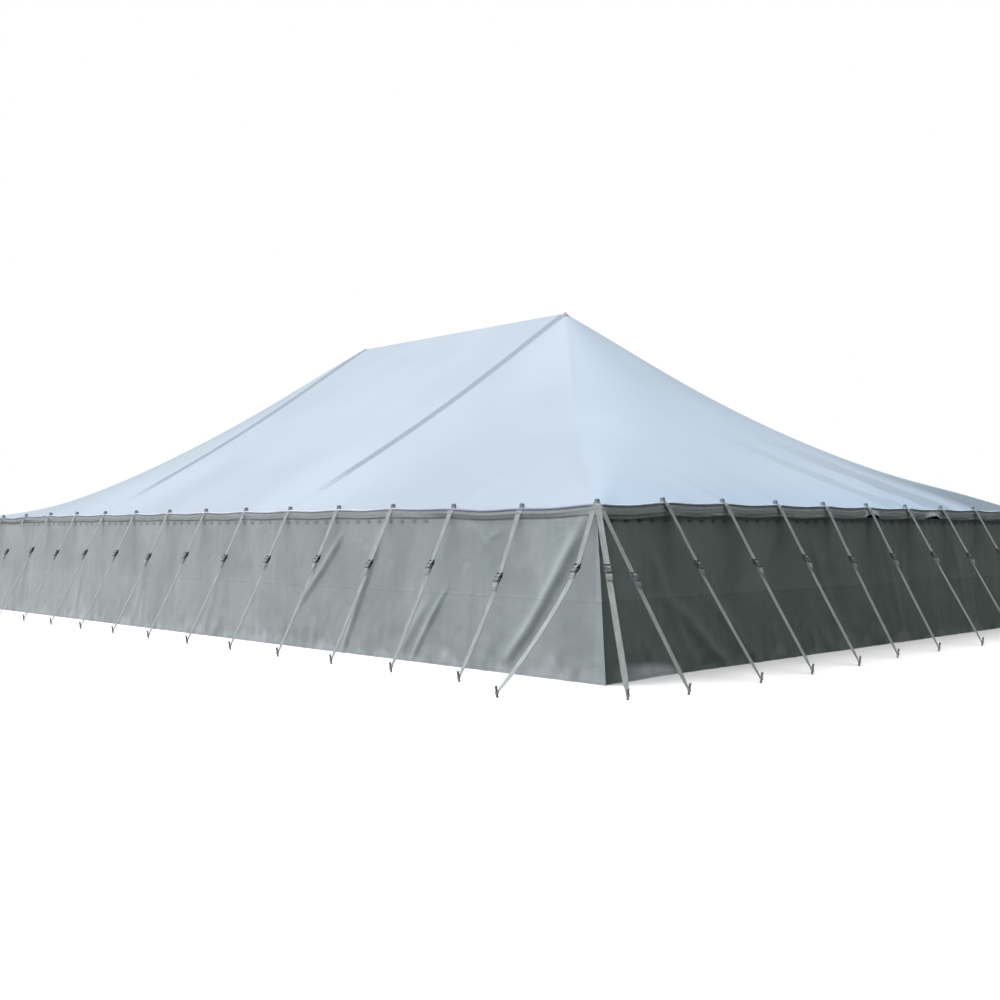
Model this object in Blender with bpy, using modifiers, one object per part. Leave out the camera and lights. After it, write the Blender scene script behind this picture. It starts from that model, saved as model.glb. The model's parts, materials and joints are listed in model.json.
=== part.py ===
"""Peg-and-pole marquee tent, 12 m by 18 m.

Two king poles hold up a three-piece canvas roof. Side poles every 1.2 m carry the eave, wall
curtains hang from a rope behind a valance, and webbing guys with ratchets run out to stakes.
Metres, +Z up. The origin is on the ground at the middle of the plan, the long side runs
along X, the front long wall is at -Y and the east end wall at +X.
"""
import math

import bmesh
import bpy
from mathutils import Matrix, Vector

# Driving dimensions
LENGTH = 18.0
WIDTH = 12.0
BAY = 1.2
EAVE_HEIGHT = 1.98
PEAK_HEIGHT = 5.65
KING_POLE_X = 3.0
GAP = 0.0003

# Canvas
CELL = BAY / 2
ROOF_DEPTH = 0.011
FLANK_SAG = 0.12
HIP_SAG = 0.40
HIP_FOCUS = 2.3
SAG_POWER = 1.3
RIDGE_SAG = 0.03
EAVE_DIP = 0.022
CURTAIN_THICKNESS = 0.008
CURTAIN_TOP = 1.838
CURTAIN_ROWS = 4
FOOT_FLARE = 0.05
BILLOW = 0.015
VALANCE_THICKNESS = 0.008
VALANCE_DROP = 0.108
VALANCE_TOP_STEP = 0.008
STRIP_HALF_WIDTH = 0.030
STRIP_THICKNESS = 0.004
STRIP_END = 5.4

# Poles
POLE_RADIUS = 0.024
POLE_SIDES = 8
POLE_INSET = CURTAIN_THICKNESS + GAP + POLE_RADIUS
TIP_RADIUS = 0.012
TIP_HEIGHT = 0.020
ROPE_RADIUS = 0.005
ROPE_INSET = 0.014
ROPE_HEIGHT = 1.848
KING_RADIUS = 0.055
KING_SIDES = 12
KING_SHOULDER = 5.55
SPIGOT_RADIUS = 0.012
BASE_SIDE = 0.40
BASE_THICKNESS = 0.012
SOCKET_HEIGHT = 0.14
SOCKET_WALL = 0.008
CAP_RADIUS = 0.075
CAP_FLANGE = 0.010
CAP_DOME_RADIUS = 0.030
CAP_DOME_HEIGHT = 0.022
CAP_BORE_DEPTH = 0.020

# Guys
EAVE_WEB_THICKNESS = 0.005
EAVE_WEB_BOTTOM = 1.920
EAVE_WEB_TOP = 1.972
STRAP_WIDTH = 0.050
STRAP_THICKNESS = 0.005
STRAP_OVER_EAVE = 0.008
STRAP_LEAD_IN = 0.045
DIAGONAL_OVER_EAVE = 0.014
DIAGONAL_LEAD_IN = 0.010
RATCHET_PLACE = 0.36
RATCHET_LENGTH = 0.12
RATCHET_WIDTH = 0.064
RATCHET_THICKNESS = 0.040
KNOB_RADIUS = 0.035
KNOB_HEIGHT = 0.075
KNOB_SIDES = 6
KNOB_CLEARANCE = 0.0015
STAKE_RADIUS = 0.014
STAKE_HEIGHT = 0.13
STAKE_LEAN = 0.03
STAKE_SIDES = 4
STRAP_FOOT = 0.055
FRONT_GUY_REACH = 0.96
END_GUY_REACH = 1.12
CORNER_REACH_FRONT = 1.50
CORNER_REACH_END = 1.20
CORNER_DIAGONAL = (1.00, 0.70)

HALF_LENGTH = LENGTH / 2
HALF_WIDTH = WIDTH / 2
VALANCE_FACE = GAP + VALANCE_THICKNESS
WEB_FACE = VALANCE_FACE + GAP

# Each side: turn about Z, half of its own length, distance of its line from the centre, guy reach
SIDES = {
    "front": (0, HALF_LENGTH, HALF_WIDTH, FRONT_GUY_REACH),
    "east": (90, HALF_WIDTH, HALF_LENGTH, END_GUY_REACH),
    "back": (180, HALF_LENGTH, HALF_WIDTH, FRONT_GUY_REACH),
    "west": (270, HALF_WIDTH, HALF_LENGTH, END_GUY_REACH),
}
CORNERS = {
    "front_east": (1, -1),
    "back_east": (1, 1),
    "back_west": (-1, 1),
    "front_west": (-1, -1),
}


def clear_scene():
    """Remove every object, so that the script can be run again."""
    for item in list(bpy.data.objects):
        bpy.data.objects.remove(item, do_unlink=True)


def new_collection(name):
    """A collection linked to the scene."""
    collection = bpy.data.collections.new(name)
    bpy.context.scene.collection.children.link(collection)
    return collection


def make_material(name, colour, roughness, metallic=0.0):
    """A plain Principled BSDF material."""
    material = bpy.data.materials.new(name)
    material.use_nodes = True
    shader = material.node_tree.nodes["Principled BSDF"]
    shader.inputs["Base Color"].default_value = (*colour, 1.0)
    shader.inputs["Roughness"].default_value = roughness
    shader.inputs["Metallic"].default_value = metallic
    return material


def add_object(name, bm, material, collection):
    """Turn a bmesh into a named object in the given collection."""
    bmesh.ops.recalc_face_normals(bm, faces=bm.faces)
    mesh = bpy.data.meshes.new(name)
    bm.to_mesh(mesh)
    bm.free()
    mesh.materials.append(material)
    item = bpy.data.objects.new(name, mesh)
    collection.objects.link(item)
    return item


def add_helper(name, bm, material, collection):
    """An object that only cuts or joins another one."""
    item = add_object(name, bm, material, collection)
    item.hide_render = True
    item.display_type = "WIRE"
    return item


def thicken(item, thickness):
    """Give an open sheet its thickness, on the side that its normals point away from."""
    solidify = item.modifiers.new("thickness", "SOLIDIFY")
    solidify.thickness = thickness
    solidify.offset = -1.0
    solidify.use_even_offset = True


def boolean(item, operation, helper):
    """Join or cut an object with a helper object."""
    modifier = item.modifiers.new(operation.lower(), "BOOLEAN")
    modifier.operation = operation
    modifier.solver = "EXACT"
    modifier.use_self = True
    modifier.object = helper


def roof_height(x, y):
    """Height of the canvas's upper face over a point of the plan."""
    past_king = max(abs(x) - KING_POLE_X, 0.0)
    across = abs(y)
    outer = max(past_king, across)
    run = outer / HALF_WIDTH
    diagonal = min(past_king, across) / outer if outer else 0.0
    sag = FLANK_SAG + HIP_SAG * diagonal ** HIP_FOCUS
    height = PEAK_HEIGHT - (PEAK_HEIGHT - EAVE_HEIGHT) * run
    height -= sag * max(math.sin(math.pi * min(run, 1.0)), 0.0) ** SAG_POWER
    if abs(x) < KING_POLE_X:
        height -= RIDGE_SAG * (1 - (x / KING_POLE_X) ** 2) * (1 - run)
    along = HALF_LENGTH - abs(x) if across >= HALF_WIDTH - CELL / 2 else HALF_WIDTH - across
    if run > 1 - CELL / HALF_WIDTH / 2:
        height -= EAVE_DIP * math.sin(math.pi * along / BAY) ** 2
    return height


def side_frame(side):
    """Matrix from a side's own frame (x along, -y outwards, z up) to the world."""
    turn, _, distance, _ = SIDES[side]
    return Matrix.Rotation(math.radians(turn), 4, "Z") @ Matrix.Translation((0, -distance, 0))


def place_on_side(item, side):
    """Put an object that was modelled in a side's own frame on that side."""
    frame = side_frame(side)
    item.location = frame.translation
    item.rotation_euler = frame.to_euler()


def eave_at(side, along):
    """Height of the eave at a station of a side, and the slope of the canvas going inwards."""
    edge = side_frame(side) @ Vector((along, 0, 0))
    inner = side_frame(side) @ Vector((along, CELL, 0))
    height = roof_height(edge.x, edge.y)
    return height, (roof_height(inner.x, inner.y) - height) / CELL


def corner_slope():
    """Slope of the canvas along the first step in from a corner, for each metre of inset."""
    inner = roof_height(HALF_LENGTH - CELL, HALF_WIDTH - CELL)
    return (inner - EAVE_HEIGHT) / CELL


def stations(side):
    """Places of a side's poles, without the corner poles."""
    half = SIDES[side][1]
    count = round(2 * half / BAY)
    return [BAY * number - half for number in range(1, count)]


def add_box(bm, low, high):
    """A box between two opposite corners."""
    low = Vector(low)
    high = Vector(high)
    size = high - low
    place = Matrix.Translation((low + high) / 2)
    bmesh.ops.create_cube(bm, size=1.0, matrix=place @ Matrix.Diagonal((*size, 1.0)))


def add_bar(bm, start, end, width, thickness):
    """A flat bar between two points, with its width level."""
    run = end - start
    level = run.cross(Vector((0, 0, 1))).normalized()
    frame = Matrix((level, run.normalized(), level.cross(run).normalized())).transposed().to_4x4()
    place = Matrix.Translation((start + end) / 2) @ frame
    bmesh.ops.create_cube(bm, size=1.0,
                          matrix=place @ Matrix.Diagonal((width, run.length, thickness, 1.0)))


def add_post(bm, x, y, bottom, top, radius, sides):
    """An upright round bar; returns its vertices."""
    place = Matrix.Translation((x, y, (bottom + top) / 2))
    made = bmesh.ops.create_cone(bm, cap_ends=True, segments=sides, radius1=radius,
                                 radius2=radius, depth=top - bottom, matrix=place)
    return made["verts"]


def add_tipped_post(bm, x, y, top, radius):
    """A side pole whose top narrows to a shoulder under the canvas."""
    verts = add_post(bm, x, y, 0.0, top - TIP_HEIGHT, radius, POLE_SIDES)
    lid = max({face for vert in verts for face in vert.link_faces},
              key=lambda face: face.calc_center_median().z)
    grown = bmesh.ops.extrude_face_region(bm, geom=[lid])["geom"]
    bmesh.ops.delete(bm, geom=[lid], context="FACES_ONLY")
    for vert in (part for part in grown if isinstance(part, bmesh.types.BMVert)):
        vert.co.x = x + (vert.co.x - x) * TIP_RADIUS / radius
        vert.co.y = y + (vert.co.y - y) * TIP_RADIUS / radius
        vert.co.z = top


def pole_top(eave, slope):
    """Height at which a pole's tip meets the underside of the canvas."""
    dip = 2 * EAVE_DIP * TIP_RADIUS / CELL
    return eave + slope * (POLE_INSET - TIP_RADIUS) - ROOF_DEPTH - dip - GAP


def build_roof_section(name, low_x, high_x, material, collection):
    """One laced section of the roof, from front eave to back eave."""
    columns = round((high_x - low_x) / CELL)
    rows = round(WIDTH / CELL)
    bm = bmesh.new()
    bmesh.ops.create_grid(bm, x_segments=columns, y_segments=rows, size=0.5)
    for vert in bm.verts:
        x = low_x + (vert.co.x + 0.5) * (high_x - low_x)
        y = vert.co.y * WIDTH
        vert.co = (x, y, roof_height(x, y))
    trim_to_gap(bm, low_x, high_x)
    split_along_hips(bm)
    grown = bmesh.ops.extrude_face_region(bm, geom=bm.faces)["geom"]
    for vert in (part for part in grown if isinstance(part, bmesh.types.BMVert)):
        vert.co.z -= ROOF_DEPTH
    return add_object(name, bm, material, collection)


def split_along_hips(bm):
    """Cut each square of canvas from its corner nearest the peak to the farthest one."""
    def run_down(vert):
        past_king = max(abs(vert.co.x) - KING_POLE_X, 0.0)
        return past_king + abs(vert.co.y) + 0.001 * abs(vert.co.x)
    for face in list(bm.faces):
        near = min(face.verts, key=run_down)
        far = max(face.verts, key=run_down)
        bmesh.utils.face_split(face, near, far)


def trim_to_gap(bm, low_x, high_x):
    """Keep half of the gap clear at each laced edge."""
    for vert in bm.verts:
        if abs(vert.co.x - low_x) < GAP and abs(low_x) < HALF_LENGTH:
            vert.co.x += GAP / 2
        if abs(vert.co.x - high_x) < GAP and abs(high_x) < HALF_LENGTH:
            vert.co.x -= GAP / 2


def build_roof(material, collection, cutters):
    """The three laced sections, with a hole at each peak for the king pole's spigot."""
    sections = [
        build_roof_section("roof_west_end", -HALF_LENGTH, -KING_POLE_X, material, collection),
        build_roof_section("roof_middle", -KING_POLE_X, KING_POLE_X, material, collection),
        build_roof_section("roof_east_end", KING_POLE_X, HALF_LENGTH, material, collection),
    ]
    boolean(sections[0], "DIFFERENCE", cutters["west"])
    boolean(sections[1], "DIFFERENCE", cutters["west"])
    boolean(sections[1], "DIFFERENCE", cutters["east"])
    boolean(sections[2], "DIFFERENCE", cutters["east"])


def build_spigot_cutter(name, x, material, collection):
    """The hole that a king pole's spigot passes through."""
    bm = bmesh.new()
    add_post(bm, x, 0, KING_SHOULDER, PEAK_HEIGHT + 0.1, SPIGOT_RADIUS + GAP, KING_SIDES)
    return add_helper(name, bm, material, collection)


def build_lacing_strip(name, x, material, collection, cutter):
    """The flap that covers the lacing between two roof sections."""
    rows = 2 * round(STRIP_END / CELL)
    bm = bmesh.new()
    bmesh.ops.create_grid(bm, x_segments=1, y_segments=rows, size=0.5)
    for vert in bm.verts:
        y = vert.co.y * 2 * STRIP_END
        vert.co.x *= 2 * STRIP_HALF_WIDTH
        vert.co.y = y
        vert.co.z = roof_height(KING_POLE_X, y) + 2 * GAP
    strip = add_object(name, bm, material, collection)
    strip.location.x = x
    thicken(strip, STRIP_THICKNESS)
    strip.modifiers["thickness"].offset = 1.0
    boolean(strip, "DIFFERENCE", cutter)


def build_king_pole(name, x, material, collection):
    """A king pole with its spigot, standing in its base."""
    bm = bmesh.new()
    foot = BASE_THICKNESS + GAP
    shoulder_radius = 2 * SPIGOT_RADIUS
    spigot_top = PEAK_HEIGHT + CAP_BORE_DEPTH
    verts = add_post(bm, 0, 0, foot, KING_SHOULDER, KING_RADIUS, KING_SIDES)
    steps = ((shoulder_radius, PEAK_HEIGHT - 0.05), (SPIGOT_RADIUS, PEAK_HEIGHT - 0.04),
             (SPIGOT_RADIUS, spigot_top))
    lid = max({face for vert in verts for face in vert.link_faces},
              key=lambda face: face.calc_center_median().z)
    for radius, height in steps:
        grown = bmesh.ops.extrude_face_region(bm, geom=[lid])["geom"]
        bmesh.ops.delete(bm, geom=[lid], context="FACES_ONLY")
        lid = next(part for part in grown if isinstance(part, bmesh.types.BMFace))
        for vert in lid.verts:
            vert.co = (*(vert.co.xy.normalized() * radius), height)
    pole = add_object(name, bm, material, collection)
    pole.location.x = x


def build_base(name, x, material, collection, helpers):
    """The square steel plate and socket that a king pole stands in."""
    plate = bmesh.new()
    half = BASE_SIDE / 2
    add_box(plate, (-half, -half, 0), (half, half, BASE_THICKNESS))
    base = add_object(name, plate, material, collection)
    socket = bmesh.new()
    add_post(socket, 0, 0, BASE_THICKNESS / 2, SOCKET_HEIGHT,
             KING_RADIUS + GAP + SOCKET_WALL, KING_SIDES)
    bore = bmesh.new()
    add_post(bore, 0, 0, BASE_THICKNESS, SOCKET_HEIGHT * 2, KING_RADIUS + GAP, KING_SIDES)
    joined = add_helper(name + "_socket", socket, material, helpers)
    cut = add_helper(name + "_bore", bore, material, helpers)
    for item in (base, joined, cut):
        item.location.x = x
    boolean(base, "UNION", joined)
    boolean(base, "DIFFERENCE", cut)


def build_peak_cap(name, x, material, collection):
    """The turned cap over a king pole's spigot."""
    fall = (PEAK_HEIGHT - roof_height(KING_POLE_X, CELL)) / CELL
    seat = 3 * GAP + STRIP_THICKNESS * math.hypot(1.0, fall)
    flange_top = seat + CAP_FLANGE
    bore = CAP_BORE_DEPTH + GAP
    profile = [(0.0, flange_top + CAP_DOME_HEIGHT), (CAP_DOME_RADIUS * 0.7, flange_top + CAP_DOME_HEIGHT),
               (CAP_DOME_RADIUS, flange_top + CAP_DOME_HEIGHT * 0.6), (CAP_DOME_RADIUS, flange_top),
               (CAP_RADIUS, flange_top), (CAP_RADIUS, seat), (SPIGOT_RADIUS + GAP, seat),
               (SPIGOT_RADIUS + GAP, bore), (0.0, bore)]
    bm = bmesh.new()
    verts = [bm.verts.new((radius, 0, height)) for radius, height in profile]
    for first, second in zip(verts, verts[1:]):
        bm.edges.new((first, second))
    mesh = bpy.data.meshes.new(name)
    bm.to_mesh(mesh)
    bm.free()
    mesh.materials.append(material)
    cap = bpy.data.objects.new(name, mesh)
    collection.objects.link(cap)
    cap.location = (x, 0, PEAK_HEIGHT)
    screw = cap.modifiers.new("turn", "SCREW")
    screw.steps = KING_SIDES
    screw.render_steps = KING_SIDES
    screw.use_merge_vertices = True
    screw.merge_threshold = 0.0001


def build_valance(side, material, collection):
    """The hem that hangs from the eave, following its dips between the poles."""
    _, half, distance, _ = SIDES[side]
    columns = round(2 * half / CELL)
    reach = VALANCE_FACE if distance == HALF_WIDTH else 0.0
    bm = bmesh.new()
    bmesh.ops.create_grid(bm, x_segments=columns, y_segments=1, size=0.5)
    for vert in bm.verts:
        along = vert.co.x * 2 * half
        drop = VALANCE_TOP_STEP if vert.co.y > 0 else VALANCE_TOP_STEP + VALANCE_DROP
        height = eave_at(side, along)[0] - drop
        if abs(abs(along) - half) < GAP:
            along += math.copysign(reach, along)
        vert.co = (along, -VALANCE_FACE, height)
    valance = add_object("valance_" + side, bm, material, collection)
    face_outwards(valance)
    place_on_side(valance, side)
    thicken(valance, VALANCE_THICKNESS)


def face_outwards(sheet):
    """Turn a wall sheet's faces towards -y, so that it thickens inwards."""
    if sheet.data.polygons[0].normal.y > 0:
        sheet.data.flip_normals()


def foot_flare(height):
    """How far a curtain stands out from the wall line at a height."""
    return FOOT_FLARE * (1 - height / CURTAIN_TOP) ** 2


def build_curtain(name, side, start, end, material, collection):
    """One wall curtain, from the wall rope to the ground."""
    _, half, distance, _ = SIDES[side]
    columns = round((end - start) / CELL)
    tuck = 0.0 if distance == HALF_WIDTH else CURTAIN_THICKNESS + GAP
    bm = bmesh.new()
    bmesh.ops.create_grid(bm, x_segments=columns, y_segments=CURTAIN_ROWS, size=0.5)
    for vert in bm.verts:
        along = start + (vert.co.x + 0.5) * (end - start)
        height = (vert.co.y + 0.5) * CURTAIN_TOP
        flare = foot_flare(height)
        swell = math.sin(math.pi * (half - along) / BAY) ** 2
        swell *= BILLOW * math.sin(math.pi * height / CURTAIN_TOP)
        if abs(along) > half - GAP:
            along = math.copysign(half + flare - tuck, along)
        elif vert.co.x < GAP - 0.5:
            along += GAP / 2
        elif vert.co.x > 0.5 - GAP:
            along -= GAP / 2
        vert.co = (along, -flare - swell, height)
    bmesh.ops.triangulate(bm, faces=bm.faces)
    curtain = add_object(name, bm, material, collection)
    face_outwards(curtain)
    place_on_side(curtain, side)
    thicken(curtain, CURTAIN_THICKNESS)


def build_curtains(material, collection):
    """Three curtains on each long wall and two on each end wall, meeting at poles."""
    for side, (_, half, _, _) in SIDES.items():
        count = round(half / KING_POLE_X)
        width = 2 * half / count
        for number in range(count):
            start = number * width - half
            build_curtain(f"curtain_{side}_{number + 1}", side, start, start + width,
                          material, collection)


def build_side_poles(side, material, collection, helpers):
    """A row of side poles, joined by the wall rope that they carry."""
    half = SIDES[side][1]
    rope_end = half - POLE_INSET - POLE_RADIUS - 2 * GAP
    rope = bmesh.new()
    add_box(rope, (-rope_end, ROPE_INSET - ROPE_RADIUS, ROPE_HEIGHT - ROPE_RADIUS),
            (rope_end, ROPE_INSET + ROPE_RADIUS, ROPE_HEIGHT + ROPE_RADIUS))
    row = add_object("side_poles_" + side, rope, material, collection)
    poles = bmesh.new()
    for along in stations(side):
        add_tipped_post(poles, along, POLE_INSET, pole_top(*eave_at(side, along)),
                        POLE_RADIUS)
    joined = add_helper("poles_" + side, poles, material, helpers)
    place_on_side(row, side)
    place_on_side(joined, side)
    boolean(row, "UNION", joined)


def build_corner_pole(name, sign_x, sign_y, material, collection):
    """A corner pole, standing inside both walls."""
    bm = bmesh.new()
    add_tipped_post(bm, sign_x * (HALF_LENGTH - POLE_INSET), sign_y * (HALF_WIDTH - POLE_INSET),
                    pole_top(EAVE_HEIGHT, corner_slope()), POLE_RADIUS)
    add_object(name, bm, material, collection)


def add_knob(bm, along, eave, slope):
    """The cap on a side pole's spigot, cut to the slope of the canvas under it."""
    for vert in add_post(bm, along, POLE_INSET, eave, eave + KNOB_HEIGHT, KNOB_RADIUS, KNOB_SIDES):
        if vert.co.z < eave + KNOB_HEIGHT / 2:
            vert.co.z = eave + slope * max(vert.co.y, 0.0) + KNOB_CLEARANCE


def add_guy(bm, edge, outward, foot, over_eave=STRAP_OVER_EAVE, lead_in=STRAP_LEAD_IN):
    """A strap with its ratchet and stake, from over the eave down to its foot on the ground."""
    foot = Vector((foot.x, foot.y, STRAP_FOOT))
    over = edge + outward * 0.004 + Vector((0, 0, over_eave))
    down = (foot - over).normalized()
    add_bar(bm, over - down * lead_in, foot, STRAP_WIDTH, STRAP_THICKNESS)
    place = over.lerp(foot, RATCHET_PLACE)
    half = down * RATCHET_LENGTH / 2
    add_bar(bm, place - half, place + half, RATCHET_WIDTH, RATCHET_THICKNESS)
    lean = Vector((down.x, down.y, 0)).normalized() * STAKE_LEAN
    for vert in add_post(bm, foot.x, foot.y, 0.0, STAKE_HEIGHT, STAKE_RADIUS, STAKE_SIDES):
        if vert.co.z > STAKE_HEIGHT / 2:
            vert.co += lean


def build_guys(side, material, collection, helpers):
    """A side's straps, joined by the webbing along the eave that holds them."""
    _, half, _, reach = SIDES[side]
    end = half - CELL - GAP / 2
    webbing = bmesh.new()
    add_box(webbing, (-end, -WEB_FACE - EAVE_WEB_THICKNESS, EAVE_WEB_BOTTOM),
            (end, -WEB_FACE, EAVE_WEB_TOP))
    row = add_object("guys_" + side, webbing, material, collection)
    parts = bmesh.new()
    outward = Vector((0, -1, 0))
    for along in stations(side):
        eave, slope = eave_at(side, along)
        add_knob(parts, along, eave, slope)
        add_guy(parts, Vector((along, 0, eave)), outward, Vector((along, -reach, 0)))
    joined = add_helper("straps_" + side, parts, material, helpers)
    place_on_side(row, side)
    place_on_side(joined, side)
    boolean(row, "UNION", joined)


def add_oriented_box(bm, sign_x, sign_y, low, high):
    """A box given for the corner at +x, -y, mirrored to another corner."""
    first = Vector((sign_x * low[0], -sign_y * low[1], low[2]))
    second = Vector((sign_x * high[0], -sign_y * high[1], high[2]))
    lowest = [min(pair) for pair in zip(first, second)]
    highest = [max(pair) for pair in zip(first, second)]
    add_box(bm, lowest, highest)


def build_corner_guys(name, sign_x, sign_y, material, collection, helpers):
    """Three straps from a corner pole, joined by the webbing around the corner."""
    eave = EAVE_HEIGHT
    inner = WEB_FACE
    outer = WEB_FACE + EAVE_WEB_THICKNESS
    start_x = HALF_LENGTH - CELL + GAP / 2
    start_y = HALF_WIDTH - CELL + GAP / 2
    webbing = bmesh.new()
    add_oriented_box(webbing, sign_x, sign_y,
                     (start_x, -HALF_WIDTH - outer, EAVE_WEB_BOTTOM),
                     (HALF_LENGTH + outer, -HALF_WIDTH - inner, EAVE_WEB_TOP))
    row = add_object(name, webbing, material, collection)
    parts = bmesh.new()
    add_oriented_box(parts, sign_x, sign_y,
                     (HALF_LENGTH + inner, -HALF_WIDTH - outer + 0.001, EAVE_WEB_BOTTOM),
                     (HALF_LENGTH + outer, -start_y, EAVE_WEB_TOP))
    corner = Vector((sign_x * HALF_LENGTH, sign_y * HALF_WIDTH, eave))
    seat = eave + corner_slope() * (POLE_INSET + KNOB_RADIUS) + KNOB_CLEARANCE
    add_post(parts, sign_x * (HALF_LENGTH - POLE_INSET), sign_y * (HALF_WIDTH - POLE_INSET),
             seat, eave + KNOB_HEIGHT, KNOB_RADIUS, KNOB_SIDES)
    ways = (Vector((0, sign_y, 0)) * CORNER_REACH_FRONT, Vector((sign_x, 0, 0)) * CORNER_REACH_END)
    for way in ways:
        inset = Vector((-sign_x * (way.x == 0), -sign_y * (way.y == 0), 0)) * STRAP_WIDTH / 2
        edge = corner + inset
        add_guy(parts, edge, way.normalized(), edge + way)
    way = Vector((sign_x * CORNER_DIAGONAL[0], sign_y * CORNER_DIAGONAL[1], 0))
    add_guy(parts, corner, way.normalized(), corner + way, DIAGONAL_OVER_EAVE, DIAGONAL_LEAD_IN)
    joined = add_helper("straps_" + name, parts, material, helpers)
    boolean(row, "UNION", joined)


def build_tent():
    """Model the whole marquee."""
    clear_scene()
    tent = new_collection("marquee_tent")
    helpers = new_collection("helpers")
    canvas = make_material("roof_canvas", (0.62, 0.72, 0.84), 0.45)
    wall = make_material("wall_canvas", (0.20, 0.24, 0.23), 0.6)
    strip = make_material("lacing_strip", (0.22, 0.27, 0.33), 0.6)
    webbing = make_material("webbing", (0.42, 0.46, 0.44), 0.7)
    steel = make_material("galvanised_steel", (0.45, 0.46, 0.47), 0.4, 1.0)
    cap = make_material("dark_cap", (0.10, 0.11, 0.12), 0.5)

    cutters = {}
    for side, sign in (("east", 1), ("west", -1)):
        x = sign * KING_POLE_X
        cutters[side] = build_spigot_cutter("spigot_hole_" + side, x, steel, helpers)
        build_king_pole("king_pole_" + side, x, steel, tent)
        build_base("king_pole_base_" + side, x, steel, tent, helpers)
        build_peak_cap("peak_cap_" + side, x, cap, tent)
        build_lacing_strip("lacing_strip_" + side, x, strip, tent, cutters[side])
    build_roof(canvas, tent, cutters)
    build_curtains(wall, tent)
    for side in SIDES:
        build_valance(side, wall, tent)
        build_side_poles(side, steel, tent, helpers)
        build_guys(side, webbing, tent, helpers)
    for name, (sign_x, sign_y) in CORNERS.items():
        build_corner_pole("corner_pole_" + name, sign_x, sign_y, steel, tent)
        build_corner_guys("corner_guys_" + name, sign_x, sign_y, webbing, tent, helpers)


build_tent()
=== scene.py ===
"""Looks of the peg-and-pole marquee: its cloth, lacing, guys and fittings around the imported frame.

Metres, in the frame's own axes: the long side runs along X, the front long wall is at -Y, the
east end wall at +X and +Z is up. A finished piece sits at the origin, with its place in its mesh.
"""
import json
import math
import random

import bmesh
import bpy
from mathutils import Matrix, Vector, noise

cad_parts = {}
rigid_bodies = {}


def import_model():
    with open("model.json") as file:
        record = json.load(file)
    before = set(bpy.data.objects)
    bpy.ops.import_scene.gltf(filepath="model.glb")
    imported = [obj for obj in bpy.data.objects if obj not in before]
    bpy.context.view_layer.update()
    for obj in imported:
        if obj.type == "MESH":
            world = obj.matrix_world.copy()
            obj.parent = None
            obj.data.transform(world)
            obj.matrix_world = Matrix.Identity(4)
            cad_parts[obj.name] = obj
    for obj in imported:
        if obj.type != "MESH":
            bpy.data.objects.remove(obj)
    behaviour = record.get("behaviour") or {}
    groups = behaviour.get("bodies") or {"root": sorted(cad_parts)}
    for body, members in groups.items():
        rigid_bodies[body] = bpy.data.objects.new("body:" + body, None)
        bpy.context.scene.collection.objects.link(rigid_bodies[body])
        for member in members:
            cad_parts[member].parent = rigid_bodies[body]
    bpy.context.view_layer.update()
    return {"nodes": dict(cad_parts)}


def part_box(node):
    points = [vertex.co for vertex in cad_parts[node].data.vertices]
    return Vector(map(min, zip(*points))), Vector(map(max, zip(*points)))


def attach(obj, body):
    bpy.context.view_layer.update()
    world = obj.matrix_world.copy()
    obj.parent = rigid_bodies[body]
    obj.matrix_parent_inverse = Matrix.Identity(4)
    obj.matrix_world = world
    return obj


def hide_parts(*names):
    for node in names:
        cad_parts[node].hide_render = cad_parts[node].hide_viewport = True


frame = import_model()

# The tent's driving dimensions
HALF_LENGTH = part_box("roof_east_end")[1].x
HALF_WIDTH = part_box("roof_east_end")[1].y
BAY = 1.2
EAVE_HEIGHT = 1.962
PEAK_HEIGHT = 5.668
KING_X = 3.0
SLOPE_LENGTH = math.hypot(HALF_WIDTH, PEAK_HEIGHT - EAVE_HEIGHT)

# Roof cloth
ROOF_CELL = 0.075
ROOF_CLOTH = 0.0015
FLANK_SAG = 0.12
HIP_SAG = 0.28
HIP_FOCUS = 2.3
HIP_SOFTNESS = 0.25
HIP_ROUNDING = 1.8
SAG_POWER = 1.3
WEST_SLACK = 0.23
WEST_SLACK_PLACE = 2.6
EAVE_DIP = 0.014
DIP_REACH = 0.7
PUCKER = 0.005
PUCKER_REACH = 0.35
END_RISE = 0.045
CORNER_BAY_SAG = 0.032
END_VALANCE_EXTRA = 0.036
PANEL_WIDTH = 2.4
PANEL_SWELL = 0.006
BEAD_RADIUS = 0.016
EDGE_STEP = 0.06

# Lacing between the roof sections
STRIP_END = 5.4
STRIP_WIDTH = 0.15
STRIP_CLOTH = 0.0015
STRIP_CELL = 0.05
LOOP_SPACING = 0.10
LOOP_LENGTH = 0.05
LOOP_WIDTH = 0.012
LACE_RADIUS = 0.003

# Valance and walls
VALANCE_OUT = 0.0075
VALANCE_TOP = 0.006
VALANCE_DROP = 0.106
LONG_SLANT = 0.003
END_SLANT = 0.012
VALANCE_CELL = 0.03
WALL_CLOTH = 0.0012
WALL_CELL = BAY / 48
WALL_ROWS = 44
WALL_TOP = 1.872
WALL_SEAM = 0.91
WALL_HEM = 0.05
WALL_TOP_HEM = 1.78
WALL_PANEL = 2.0
FOOT_FLARE = 0.05
CORNER_KICK = 0.11
BILLOW = 0.018
CORNER_BILLOW = 0.030
HOOK_SPACING = 0.24
HOOK_START = 0.12
HOOK_SAG = 0.012
HOOK_SHADOW = 1.803
PLEAT = 0.009
CORNER_CALM = 0.22
ROPE_HEIGHT = 1.848
ROPE_INSET = 0.014
ROPE_RADIUS = 0.005

# Poles
POLE_INSET = 0.0323
POLE_RADIUS = 0.024
KING_RADIUS = 0.055

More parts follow.
